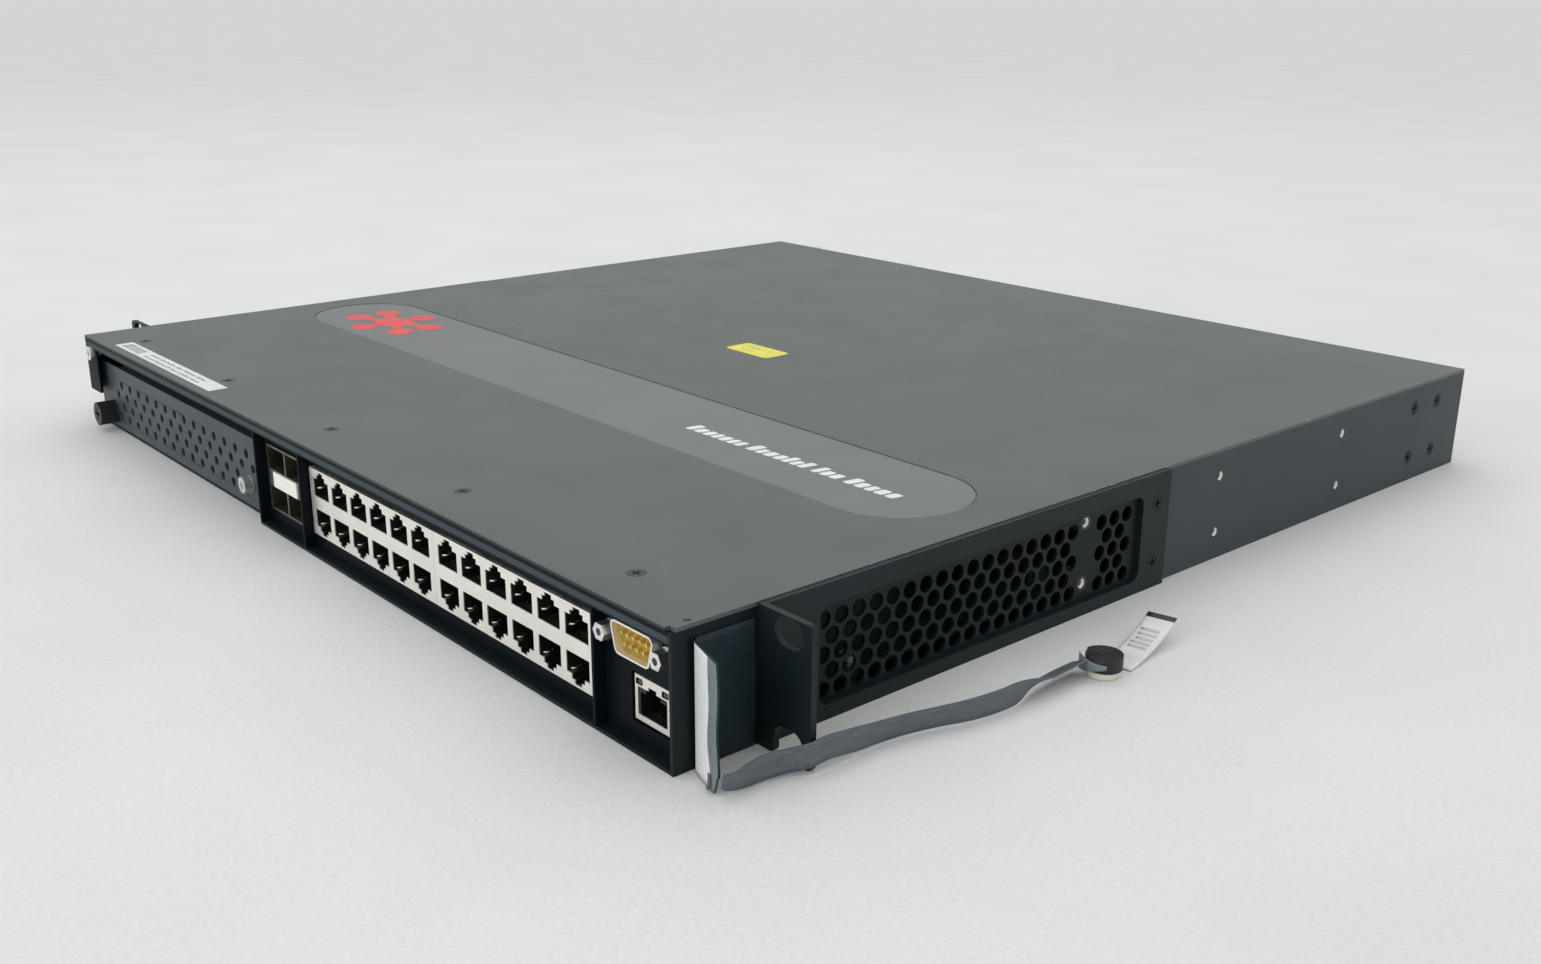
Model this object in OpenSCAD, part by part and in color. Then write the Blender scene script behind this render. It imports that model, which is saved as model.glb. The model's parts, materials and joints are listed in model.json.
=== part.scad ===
// Rack-mount network security appliance, one rack unit high: sheet-steel body, 24 network jacks,
// four pluggable-module cages, an option slot, two hot-swap power supplies and a fan tray.
// +X is to the right seen from the front, +Y to the rear, +Z up. The origin is on the resting
// surface, under the middle of the whole object. Depths named d are measured behind the front plane.

/* [Body] */
// Width over the outer faces of the side walls
body_w = 440; // [434:1:446]
// Depth from the front plane to the rear plane
body_d = 425; // [415:5:450]
// Height from the underside to the top of the cover
body_h = 41.5; // [41:0.5:43]
// Thickness of the steel sheet
sheet = 1.2; // [1:0.1:1.4]

/* [Front panel] */
// How far the port panel sits behind the front plane
recess = 4.4; // [4:0.1:5]
// Height of the front strip below the cover
strip_h = 3.9; // [3:0.1:5]
// Reach of the filler panel's knob in front of the front plane
knob_reach = 4; // [3:0.5:8]
// Hole diameter in the option slot's filler panel
filler_hole_d = 3.6; // [2.5:0.1:4.2]

/* [Ports] */
// Distance between neighbouring network jacks
jack_pitch = 14.2; // [13.97:0.01:14.3]
// Height of a stacked jack block
bank_h = 25; // [24:0.5:25.5]
// Depth of a stacked jack block
bank_depth = 33; // [30:1:40]
// Width of a jack's mouth
jack_mouth_w = 11.4; // [11:0.1:11.8]
// Height of a jack's mouth, without the latch notch
jack_mouth_h = 6.6; // [6.2:0.1:6.8]
// Depth of the pluggable-module cage
cage_depth = 46; // [40:1:50]

/* [Side vents] */
// Hole diameter of the side vents
vent_hole_d = 5.3; // [4:0.1:5.4]
// Distance between vent holes along a row
vent_pitch = 6.8; // [6.6:0.1:7.5]

/* [Rack ears] */
// Overall width across the rack ears
ear_span = 482.6; // [480:0.1:484]
// Distance between left and right rack holes
rack_hole_span = 465.1; // [464.5:0.1:466]
// Thickness of the ear steel
ear_t = 2; // [1.5:0.1:2.2]
// Width of the oblong rack holes
rack_slot_w = 11.5; // [10:0.5:12]
// Height of the oblong rack holes
rack_slot_h = 8.6; // [7:0.2:9]

/* [Power supplies] */
// Width of one power supply
psu_w = 78; // [76:0.5:78]
// Height of one power supply
psu_h = 36.5; // [35:0.5:36.5]
// Depth of one power supply
psu_d = 199; // [180:1:200]
// Reach of the power supply's handle behind the rear plane
handle_reach = 24; // [20:1:30]

/* [Fan tray] */
// Side of a fan's square frame
fan_size = 36; // [34:0.5:36]
// Distance between neighbouring fans
fan_pitch = 44; // [42:1:46]
// Number of fans in the tray
fan_count = 4; // [4:1:4]

/* [Strap] */
// Width of the strap's ribbon
ribbon_w = 8; // [6:0.5:8]
// Radius of the strap's rolled end
roll_r = 6.2; // [5:0.1:6.2]

/* [Hidden] */
$fn = 48;

// Colours
black_paint = [0.10, 0.11, 0.12];
grey_paint = [0.20, 0.21, 0.21];
badge_grey = [0.28, 0.30, 0.29];
bright_steel = [0.75, 0.76, 0.77];
plain_steel = [0.55, 0.56, 0.57];
gold = [0.78, 0.62, 0.25];
jack_black = [0.05, 0.05, 0.05];
board_green = [0.05, 0.25, 0.14];
clear_white = [0.92, 0.93, 0.90];
ribbon_grey = [0.27, 0.30, 0.33];
latch_green = [0.20, 0.45, 0.35];

// Places shared by several sub-parts
half_w = body_w / 2;
in_w = half_w - sheet;
front_y = -(body_d + handle_reach - knob_reach) / 2;
rear_y = front_y + body_d;
cover_z = body_h - sheet;
strip_z = cover_z - strip_h;
face_d = recess - 1;
overrun = 1;
snug = 0.1;

// Front panel layout
bay_right = -36;
sfp_right = 2;
serial_left = 184;
post_right = -207;
knob_notch_z = 16.5;
bezel_flange_d = 24;
cover_screw_d = 16.5;
cover_screw_xs = [-189:93:183];
cover_screw_head = 5.6;

// Places of the filler panel's knob and captive screw, and of the bezel's corner screw
knob_x = -203;
knob_z = 8.3;
captive_x = -51.5;
captive_z = 11.3;
corner_screw_x = -212.6;
corner_screw_z = 34.4;

// Network jacks
bank_z = 6.8;
bank_w = 6 * jack_pitch + 3;
bank_xs = [for (s = [-1, 1]) 92.65 + s * (bank_w + snug) / 2];
bank_mid_z = bank_z + bank_h / 2;
row_gap = 4.9;
shield_t = 0.35;
cavity_d = 21;
notch_steps = [[6.4, 1.5], [3.4, 1.2]];
contact_pitch = 1.02;

// Management jack
mgmt_x = 205;
mgmt_w = 15.4;
mgmt_z = 6.9;
mgmt_h = 13.2;
mgmt_depth = 21;
mgmt_d = face_d + 1.5;
mgmt_mouth_z = 8.6;
mgmt_led_x = 5.7;
mgmt_led_z = 18.3;

// Pluggable-module cage
cage_x = -16.6;
cage_w = 30.4;
cage_z = 6.8;
cage_h = 25.4;
cage_mouth = [13.6, 8.6];
cage_columns = [-7.35, 7.35];
cage_rows = [11.9, 27.1];

// Serial port
serial_x = 200.7;
serial_z = 30.4;
serial_screw_dx = 12.5;
serial_shell_h = 9.6;
serial_top_w = 18.6;
serial_bottom_w = 15.6;
serial_corner = 2;
serial_shell_t = 0.6;

// Side walls
vent_rows = 5;
vent_z = 8.3;
vent_row_pitch = 5.3;
vent_front_d = 52.5;
vent_front_count = 17;
vent_rear_d = 176;
vent_rear_count = 3;
stud_ds = [167.5, 243.5, 326.5];
stud_zs = [10.4, 31.4];
side_screw_ds = [384, 403];
stud_hole_r = 1.65;
stud_r = 3;

// Rack ears
ear_front_d = 28.5;
ear_rear_d = 210.5;
ear_h = body_h - 0.3;
ear_window = [[49.5, 4.7], [195.8, 34.7]];
ear_screw_d = 203.5;
ear_screw_zs = [9.5, 30.5];
rack_hole_zs = [4.87, 36.62];

// Badge on the cover
badge_x0 = -206;
badge_x1 = 205;
badge_d0 = 96;
badge_w = 51.5;
badge_pocket = 0.5;
badge_t = 0.3;

// Main board
board_x0 = -33;
board_x1 = 213;
board_d0 = 6.5;
board_d1 = 300;
board_z = 5.2;
board_t = 1.6;
board_top = board_z + board_t;
board_screw_xs = [-27, 90, 207];
board_screw_ds = [75, 180, 292];

// Power supplies: left edge of each bay
psu_xs = [-217, -137];
psu_z = 1.8;
psu_front_y = rear_y - psu_d;
psu_wall = 1;
psu_handle_w = 11;
psu_handle_z = 5;
psu_handle_h = 33;
psu_handle_t = 2;
psu_latch_x = 13.5;
psu_latch_w = 4;
psu_latch_z = 15;
psu_latch_h = 10;
psu_latch_travel = 3;
psu_inlet_x = 35.8;
psu_fan_x = 64;
psu_fan_r = 12.4;
psu_mid_z = psu_z + psu_h / 2;
backplane_d = 219;

// Pair of grounding holes in the rear panel
ground_x = 13;
ground_z = 20.5;
ground_pitch = 15.9;

// Fan tray
tray_x0 = 24;
tray_x1 = 214;
tray_mid_x = (tray_x0 + tray_x1) / 2;
tray_z = 1.8;
tray_open_d = 365;
fan_d = 374;
fan_depth = 25;
fan_z = tray_z + sheet + fan_size / 2;
fan_bore_r = fan_size / 2 - 0.9;
fan_tip_r = fan_bore_r - 0.5;
fan_xs = [for (i = [0:fan_count - 1]) tray_mid_x + (i - (fan_count - 1) / 2) * fan_pitch];
axle_r = 1.5;
running_gap = 0.05;
thumbscrew_r = 4.6;

// Route of the strap's ribbon: it leaves the tag, rounds the ear and lies on the surface
ribbon_route = [
    [237.4, -220.6, 4.3], [238.2, -217, 4.3], [237.8, -212, 4.3], [237.8, -206, 4.3],
    [239.4, -200, 4.6], [242.4, -195.2, 5.6], [243.2, -190, 6.4], [243.2, -184, 5.8],
    [242.9, -177, 4.8], [242.9, -170, 4.2], [244, -162, 4.1], [246.6, -152, 4.1],
    [249.6, -142, 4.1], [251.4, -131, 4.1], [251.2, -120, 4.1], [250, -110, 4.1],
    [249.3, -101, 4.1], [249, -92, 4.1]
];
ribbon_t = 0.6;
ribbon_steps = 3;
roll_x = 253.8;
roll_y = -87.2;
roll_h = 6.8;

// Box from its lowest to its highest corner
module block(low, high) {
    translate(low)
        cube(high - low);
}

// Box whose depths are measured behind the front plane
module front_block(low, high) {
    block(low + [0, front_y, 0], high + [0, front_y, 0]);
}

// Upright plate across the body: the outline's x and y become X and Z
module plate_xz(d, t) {
    translate([0, front_y + d + t, 0])
        rotate([90, 0, 0])
            linear_extrude(t)
                children();
}

// Upright plate along the body: the outline's x and y become Y and Z
module plate_yz(x, t) {
    translate([x, 0, 0])
        rotate([90, 0, 90])
            linear_extrude(t)
                children();
}

// Cylinder along Y between two depths
module rod_y(x, z, d0, d1, r) {
    translate([x, front_y + d0, z])
        rotate([-90, 0, 0])
            cylinder(r = r, h = d1 - d0);
}

// Cylinder along X
module rod_x(x0, x1, y, z, r) {
    translate([x0, y, z])
        rotate([0, 90, 0])
            cylinder(r = r, h = x1 - x0);
}

module rounded_rect(w, h, r) {
    square([w - 2 * r, h], center = true);
    square([w, h - 2 * r], center = true);
    for (sx = [-1, 1], sy = [-1, 1])
        translate([sx * (w / 2 - r), sy * (h / 2 - r)])
            circle(r);
}

module oblong(w, h) {
    square([w - h, h], center = true);
    for (s = [-1, 1])
        translate([s * (w - h) / 2, 0])
            circle(h / 2);
}

// Cross-shaped driver recess, cut down from z = 0
module cross_recess(size, depth) {
    for (a = [0, 90])
        rotate(a)
            translate([-size / 2, -size / 9, -depth])
                cube([size, size / 4.5, depth + overrun]);
}

// Countersunk screw: head flush with z = 0, shank down
module countersunk(head_d, length) {
    shank_d = head_d * 0.5;
    cone_h = head_d * 0.25;
    difference() {
        union() {
            translate([0, 0, -cone_h])
                cylinder(d1 = shank_d, d2 = head_d, h = cone_h);
            translate([0, 0, -length])
                cylinder(d = shank_d, h = length - cone_h + snug);
        }
        cross_recess(head_d * 0.55, 0.8);
    }
}

// Hole that a countersunk screw sits in
module countersink(head_d, depth) {
    cone_h = head_d * 0.25;
    translate([0, 0, -cone_h])
        cylinder(d1 = head_d * 0.5 + 2 * snug, d2 = head_d + 2 * snug, h = cone_h);
    translate([0, 0, -depth])
        cylinder(d = head_d * 0.5 + 2 * snug, h = depth);
    cylinder(d = head_d + 2 * snug, h = overrun);
}

// Cheese-head screw: head above z = 0, shank down
module pan_screw(head_d, head_h, shank_d, length) {
    difference() {
        union() {
            cylinder(d = head_d, h = head_h);
            translate([0, 0, -length])
                cylinder(d = shank_d, h = length + snug);
        }
        translate([0, 0, head_h])
            cross_recess(head_d * 0.6, head_h * 0.6);
    }
}

// Knurled thumbscrew with its head towards +Z from z = 0, shank down
module thumbscrew(r, head_h, shank_r, length, grooves) {
    difference() {
        union() {
            cylinder(r = r, h = head_h);
            translate([0, 0, -length])
                cylinder(r = shank_r, h = length + snug);
        }
        for (i = [0:grooves - 1])
            rotate(i * 360 / grooves)
                translate([r, 0, head_h * 0.15])
                    cylinder(r = r * 0.11, h = head_h);
        translate([0, 0, head_h])
            cross_recess(r, head_h * 0.25);
    }
}

// Floor of the body, with the front lip that starts beside the option slot
module base_pan() {
    color(black_paint)
        difference() {
            front_block([-in_w, 0, 0], [in_w, body_d, sheet]);
            front_block([-in_w - overrun, -overrun, -overrun], [bay_right, recess, sheet + overrun]);
            for (x = board_screw_xs, d = board_screw_ds)
                translate([x, front_y + d, -overrun])
                    cylinder(r = 1.4, h = 4);
        }
}

// Staggered round holes between two depths, in the plane of a side wall
module vent_field(d0, count) {
    for (row = [0:vent_rows - 1], i = [0:count - 1 - row % 2])
        translate([
            front_y + d0 + (i + (row % 2) / 2) * vent_pitch,
            vent_z + row * vent_row_pitch
        ])
            circle(d = vent_hole_d);
}

module side_wall_outline() {
    difference() {
        translate([front_y, 0])
            square([body_d, cover_z]);
        vent_field(vent_front_d, vent_front_count);
        vent_field(vent_rear_d, vent_rear_count);
        for (d = stud_ds, z = stud_zs)
            translate([front_y + d, z])
                circle(stud_r - 0.4);
        for (d = side_screw_ds, z = stud_zs)
            translate([front_y + d, z])
                circle(d = cover_screw_head + 2 * snug);
        for (z = ear_screw_zs)
            translate([front_y + ear_screw_d, z])
                circle(d = cover_screw_head * 0.5 + 2 * snug);
    }
}

module side_wall_right() {
    color(black_paint) {
        plate_yz(in_w, sheet)
            side_wall_outline();
        front_block([in_w - 8, 20, sheet], [in_w, body_d - 60, 2 * sheet]);
    }
}

// The left wall is cut back low at the front, where the filler panel's knob sits
module side_wall_left() {
    color(black_paint) {
        difference() {
            union() {
                plate_yz(-half_w, sheet)
                    side_wall_outline();
                front_block([-in_w, 20, sheet], [-in_w + 1, body_d - 202, 2 * sheet]);
                front_block([-in_w, 9, 1.5], [-196, 9 + sheet, 15]);
                front_block([-in_w, 14, 20], [-in_w + 9, 165, 20 + sheet]);
            }
            front_block([-half_w - overrun, -overrun, -overrun], [-in_w + overrun, 5, knob_notch_z]);
            rod_y(knob_x, knob_z, 5, 15, 2.1);
        }
    }
}

module rear_panel() {
    color(black_paint)
        difference() {
            front_block([-in_w, body_d - sheet, sheet], [in_w, body_d, cover_z]);
            for (x = psu_xs)
                front_block(
                    [x - 0.4, body_d - 5, psu_z - 0.3],
                    [x + psu_w + 0.4, body_d + overrun, psu_z + psu_h + 0.4]
                );
            front_block([tray_x0 + 8, body_d - 5, 1.6], [tray_x1 - 8, body_d + overrun, 39.4]);
            for (x = [tray_x0 + 3, tray_x1 - 3])
                rod_y(x, fan_z, body_d - 5, body_d + overrun, 1.6);
            for (i = [0:7], z = [8:6:32])
                rod_y(-50 + i * 7, z, body_d - 5, body_d + overrun, 2);
            for (s = [-1, 1])
                rod_y(ground_x, ground_z + s * ground_pitch / 2, body_d - 5, body_d + overrun, stud_hole_r);
        }
}

// Cover with its shallow badge pocket, countersunk screw holes and inner side flanges
module top_cover() {
    color(grey_paint)
        difference() {
            union() {
                front_block([-half_w, 0, cover_z], [half_w, body_d, body_h]);
                for (s = [-1, 1])
                    front_block(
                        [s * (in_w - 0.7) - 0.5, 30, cover_z - 4.5],
                        [s * (in_w - 0.7) + 0.5, body_d - 12, cover_z]
                    );
            }
            translate([0, 0, body_h - badge_pocket])
                linear_extrude(overrun)
                    badge_outline(0);
            for (x = cover_screw_xs)
                translate([x, front_y + cover_screw_d, body_h])
                    countersink(cover_screw_head, 5);
            front_block([half_w - 2.4, -overrun, cover_z - 0.5], [half_w + overrun, 1.4, body_h + overrun]);
            translate([half_w - 2.2, front_y + 7, body_h - 0.4])
                cylinder(r = 1.1, h = overrun);
        }
}

// Obround badge area, drawn smaller by an inset
module badge_outline(inset) {
    translate([(badge_x0 + badge_x1) / 2, front_y + badge_d0 + badge_w / 2])
        oblong(badge_x1 - badge_x0 - 2 * inset, badge_w - 2 * inset);
}

module badge_plate() {
    color(badge_grey)
        translate([0, 0, body_h - badge_pocket])
            linear_extrude(badge_t)
                badge_outline(0.4);
}

module asset_label() {
    color(clear_white)
        front_block([-190, 3.6, body_h], [-84, 11.4, body_h + 0.12]);
}

module yellow_sticker() {
    color("gold")
        translate([1.2, front_y + 215.9, body_h])
            linear_extrude(0.12)
                rounded_rect(28, 14, 2.5);
}

// Outline of the stepped mouth of a network jack; flip = 1 puts the latch notch up, -1 down
module jack_mouth(flip) {
    translate([-jack_mouth_w / 2, flip > 0 ? 0 : -jack_mouth_h])
        square([jack_mouth_w, jack_mouth_h]);
    step_1 = notch_steps[0];
    step_2 = notch_steps[1];
    translate([-step_1[0] / 2, flip > 0 ? jack_mouth_h - snug : -jack_mouth_h - step_1[1]])
        square([step_1[0], step_1[1] + snug]);
    reach = jack_mouth_h + step_1[1];
    translate([-step_2[0] / 2, flip > 0 ? reach - snug : -reach - step_2[1]])
        square([step_2[0], step_2[1] + snug]);
}

// All mouths of one stacked jack block
module bank_mouths(x) {
    for (i = [0:5], flip = [-1, 1])
        translate([x + (i - 2.5) * jack_pitch, bank_mid_z + flip * row_gap / 2])
            jack_mouth(flip);
}

module bank_shield(x) {
    color(bright_steel)
        difference() {
            front_block([x - bank_w / 2, face_d, bank_z], [x + bank_w / 2, face_d + bank_depth, bank_z + bank_h]);
            front_block(
                [x - bank_w / 2 + shield_t, face_d + shield_t, bank_z + shield_t],
                [x + bank_w / 2 - shield_t, face_d + bank_depth + overrun, bank_z + bank_h - shield_t]
            );
            plate_xz(face_d - overrun, 3)
                bank_mouths(x);
        }
}

module bank_housing(x) {
    color(jack_black)
        difference() {
            front_block(
                [x - bank_w / 2 + shield_t, face_d + shield_t, bank_z + shield_t],
                [x + bank_w / 2 - shield_t, face_d + bank_depth - 1, bank_z + bank_h - shield_t]
            );
            plate_xz(face_d - overrun, cavity_d + overrun)
                bank_mouths(x);
        }
}

// Eight sloping spring contacts on the side of the mouth away from the latch
module contact_row(x, z, flip) {
    for (i = [0:7])
        translate([x + (i - 3.5) * contact_pitch, front_y + face_d + 3, z + flip * 0.2])
            rotate([flip * 11, 0, 0])
                translate([-0.22, 0, flip > 0 ? 0 : -0.25])
                    cube([0.44, 8, 0.25]);
}

module jack_contacts() {
    color(gold) {
        for (x = bank_xs, i = [0:5], flip = [-1, 1])
            contact_row(x + (i - 2.5) * jack_pitch, bank_mid_z + flip * row_gap / 2, flip);
        translate([0, mgmt_d - face_d, 0])
            contact_row(mgmt_x, mgmt_mouth_z, 1);
    }
}

module mgmt_front() {
    window_w = 13;
    window_h = 8.2;
    translate([mgmt_x, mgmt_mouth_z]) {
        jack_mouth(1);
        translate([-window_w / 2, 0])
            square([window_w, window_h]);
    }
    for (s = [-1, 1])
        translate([mgmt_x + s * mgmt_led_x, mgmt_led_z])
            square([2.8, 1.8], center = true);
}

module mgmt_shield() {
    color(bright_steel)
        difference() {
            front_block(
                [mgmt_x - mgmt_w / 2, mgmt_d, mgmt_z],
                [mgmt_x + mgmt_w / 2, mgmt_d + mgmt_depth, mgmt_z + mgmt_h]
            );
            front_block(
                [mgmt_x - mgmt_w / 2 + shield_t, mgmt_d + shield_t, mgmt_z + shield_t],
                [mgmt_x + mgmt_w / 2 - shield_t, mgmt_d + mgmt_depth + overrun, mgmt_z + mgmt_h - shield_t]
            );
            plate_xz(mgmt_d - overrun, 3)
                mgmt_front();
        }
}

module mgmt_housing() {
    color(jack_black)
        difference() {
            front_block(
                [mgmt_x - mgmt_w / 2 + shield_t, mgmt_d + shield_t, mgmt_z + shield_t],
                [mgmt_x + mgmt_w / 2 - shield_t, mgmt_d + mgmt_depth - 1, mgmt_z + mgmt_h - shield_t]
            );
            plate_xz(mgmt_d - overrun, 15 + overrun)
                translate([mgmt_x, mgmt_mouth_z])
                    jack_mouth(1);
            for (s = [-1, 1])
                translate([mgmt_x + s * mgmt_led_x, 0, mgmt_led_z])
                    front_block([-1.4, -overrun, -0.9], [1.4, mgmt_d + 12, 0.9]);
        }
}

// Clear bars of the management jack and the clear block between the module cages, which bring
// the board's indicator light to the front
module light_pipes() {
    color(clear_white) {
        for (s = [-1, 1])
            translate([mgmt_x + s * mgmt_led_x, 0, mgmt_led_z])
                front_block([-1.3, mgmt_d, -0.8], [1.3, mgmt_d + 11.5, 0.8]);
        translate([cage_x, 0, mean(cage_rows)])
            front_block([-9.8, face_d - 0.6, -2.9], [9.8, face_d + 20, 2.9]);
    }
}

function mean(list) = (list[0] + list[1]) / 2;

module sfp_cage() {
    color(plain_steel)
        difference() {
            front_block([cage_x - cage_w / 2, face_d, cage_z], [cage_x + cage_w / 2, face_d + cage_depth, cage_z + cage_h]);
            for (x = cage_columns, z = cage_rows)
                translate([cage_x + x, 0, z])
                    front_block(
                        [-cage_mouth[0] / 2, face_d - overrun, -cage_mouth[1] / 2],
                        [cage_mouth[0] / 2, face_d + cage_depth - 1, cage_mouth[1] / 2]
                    );
            translate([cage_x, 0, mean(cage_rows)])
                front_block([-9.9, face_d - overrun, -3], [9.9, face_d + 21, 3]);
        }
}

// D-shaped outline of the serial port, drawn larger or smaller by an inset
module serial_outline(inset) {
    r = serial_corner - inset;
    top = serial_top_w / 2 - serial_corner;
    bottom = serial_bottom_w / 2 - serial_corner;
    side = serial_shell_h / 2 - serial_corner;
    translate([serial_x, serial_z])
        hull() {
            for (s = [-1, 1]) {
                translate([s * top, side])
                    circle(r);
                translate([s * bottom, -side])
                    circle(r);
            }
        }
}

module serial_shell() {
    color(gold)
        difference() {
            union() {
                plate_xz(1.5, recess + sheet - 1.5)
                    serial_outline(0);
                plate_xz(recess + sheet, 0.5)
                    translate([serial_x, serial_z])
                        rounded_rect(31, 12, 1);
            }
            plate_xz(0, 10)
                serial_outline(serial_shell_t);
            for (s = [-1, 1])
                rod_y(serial_x + s * serial_screw_dx, serial_z, 0, 10, 1.7);
        }
}

// Contact carrier and right-angle body, with a leg down to the main board
module serial_insert() {
    d0 = 3.6;
    color(gold)
        difference() {
            union() {
                plate_xz(d0, recess + sheet + 0.5 - d0)
                    serial_outline(serial_shell_t + 0.05);
                front_block([serial_x - 9.5, recess + sheet + 0.5, 25.4], [serial_x + 9.5, 30, 35.4]);
                front_block([serial_x - 9.5, 26, board_top], [serial_x + 9.5, 30, 25.5]);
            }
            for (p = serial_pin_places())
                rod_y(serial_x + p[0], serial_z + p[1], 0, 12, 0.55);
        }
}

function serial_pin_places() = concat(
    [for (i = [0:4]) [(i - 2) * 2.76, 1.42]],
    [for (i = [0:3]) [(i - 1.5) * 2.76, -1.42]]
);

module serial_pins() {
    color(gold)
        for (p = serial_pin_places())
            rod_y(serial_x + p[0], serial_z + p[1], 2.3, 11.9, 0.5);
}

// Hexagonal jackscrews, each with its washer and a threaded hole
module serial_jackscrews() {
    color(bright_steel)
        for (s = [-1, 1])
            difference() {
                union() {
                    translate([serial_x + s * serial_screw_dx, front_y + recess, serial_z])
                        rotate([90, 0, 0])
                            cylinder(d = 5.4, h = 4.6, $fn = 6);
                    rod_y(serial_x + s * serial_screw_dx, serial_z, recess - 0.6, recess, 2.9);
                    rod_y(serial_x + s * serial_screw_dx, serial_z, recess - 0.1, recess + 6, 1.5);
                }
                rod_y(serial_x + s * serial_screw_dx, serial_z, -overrun, 4, 1.1);
            }
}

// Openings in the port panel
module port_openings() {
    for (x = bank_xs)
        translate([x, bank_mid_z])
            square([bank_w + 0.4, bank_h + 0.4], center = true);
    translate([cage_x, cage_z + cage_h / 2])
        square([cage_w + 0.4, cage_h + 0.4], center = true);
    translate([mgmt_x, mgmt_z + mgmt_h / 2])
        square([mgmt_w + 1.4, mgmt_h + 1.6], center = true);
    serial_outline(-0.2);
    for (s = [-1, 1])
        translate([serial_x + s * serial_screw_dx, serial_z])
            circle(1.7);
}

// Front strip, its top flange, the left post, the recessed port panel and the dividers
module front_bezel() {
    divider_xs = [bay_right, sfp_right, serial_left];
    color(black_paint)
        difference() {
            union() {
                front_block([-in_w, 0, strip_z], [in_w, sheet, cover_z]);
                front_block([-in_w, 0, cover_z - sheet], [in_w, bezel_flange_d, cover_z]);
                front_block([-in_w, 0, knob_notch_z], [post_right, sheet, cover_z]);
                difference() {
                    front_block([bay_right, recess, sheet], [in_w, recess + sheet, cover_z]);
                    plate_xz(recess - overrun, 2 * sheet + overrun)
                        port_openings();
                }
                for (x = divider_xs)
                    front_block([x, 0, sheet], [x + sheet, recess + 0.1, cover_z]);
                front_block([bay_right, 0, sheet], [bay_right + sheet, 30, cover_z]);
                front_block([bay_right - 24, 9, 1.5], [bay_right + 0.1, 9 + sheet, 27]);
            }
            for (x = cover_screw_xs)
                translate([x, front_y + cover_screw_d, cover_z - 5])
                    cylinder(d = cover_screw_head * 0.5 + 6 * snug, h = 10);
            rod_y(captive_x, captive_z, 5, 15, 1.7);
            rod_y(corner_screw_x, corner_screw_z, -overrun, 5, 1.6);
        }
}

// All countersunk black machine screws: cover, rack ears and rear side walls
module black_screws() {
    color(jack_black) {
        for (x = cover_screw_xs)
            translate([x, front_y + cover_screw_d, body_h])
                countersunk(cover_screw_head, 4.5);
        for (s = [-1, 1])
            rotate([0, s * 90, 0]) {
                for (z = ear_screw_zs)
                    translate([-s * z, front_y + ear_screw_d, half_w + ear_t])
                        countersunk(cover_screw_head, 7);
                for (d = side_screw_ds, z = stud_zs)
                    translate([-s * z, front_y + d, half_w - 0.1])
                        countersunk(cover_screw_head, 0.9 + sheet);
            }
    }
}

// Pressed-in threaded inserts of the side walls, for ears and rails
module side_studs() {
    color(bright_steel)
        for (s = [-1, 1], d = stud_ds, z = stud_zs)
            difference() {
                union() {
                    rod_x(
                        s > 0 ? in_w - 1.5 : -half_w - 0.05,
                        s > 0 ? half_w + 0.05 : -in_w + 1.5,
                        front_y + d, z, stud_r - 0.45
                    );
                    rod_x(
                        s > 0 ? in_w - 1.2 : -in_w + 0.05,
                        s > 0 ? in_w - 0.05 : -in_w + 1.2,
                        front_y + d, z, stud_r + 0.6
                    );
                }
                rod_x(s * half_w - 10, s * half_w + 10, front_y + d, z, stud_hole_r);
            }
}

// Bright machine screws: the bezel's upper left one and the main board's
module silver_screws() {
    color(bright_steel) {
        translate([corner_screw_x, front_y, corner_screw_z])
            rotate([90, 0, 0])
                pan_screw(6.4, 1.6, 3, 4);
        for (x = board_screw_xs, d = board_screw_ds)
            translate([x, front_y + d, board_top])
                pan_screw(5.5, 1.8, 2.6, 6);
    }
}

module rack_ear_plate() {
    low = ear_window[0];
    high = ear_window[1];
    difference() {
        translate([front_y + ear_front_d, 0])
            square([ear_rear_d - ear_front_d, ear_h]);
        translate([front_y + (low[0] + high[0]) / 2, (low[1] + high[1]) / 2])
            rounded_rect(high[0] - low[0], high[1] - low[1], 3);
    }
}

// Flange with an oblong rack hole above and an open slot between two round-ended tines below
module rack_ear_flange() {
    flange_w = ear_span / 2 - half_w;
    hole_x = rack_hole_span / 2 - half_w;
    tine_r = 1.6;
    top_r = 2;
    inner_tine = hole_x - rack_slot_w / 2;
    outer_tine = flange_w - hole_x - rack_slot_w / 2;
    difference() {
        square([flange_w, ear_h]);
        for (z = rack_hole_zs)
            translate([hole_x, z])
                oblong(rack_slot_w, rack_slot_h);
        translate([hole_x - rack_slot_w / 2, -overrun])
            square([rack_slot_w, rack_hole_zs[0] + overrun]);
        translate([flange_w - tine_r, -overrun])
            square([tine_r + overrun, tine_r + overrun]);
        translate([flange_w - top_r, ear_h - top_r])
            square(top_r + overrun);
        translate([flange_w - outer_tine - overrun, -overrun])
            square([outer_tine - tine_r + overrun, tine_r + overrun]);
        translate([inner_tine - tine_r, -overrun])
            square([tine_r + overrun, tine_r + overrun]);
    }
    translate([flange_w - top_r, ear_h - top_r])
        circle(top_r);
    translate([flange_w - tine_r, tine_r])
        circle(tine_r);
    translate([inner_tine - tine_r, tine_r])
        circle(tine_r);
}

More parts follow.
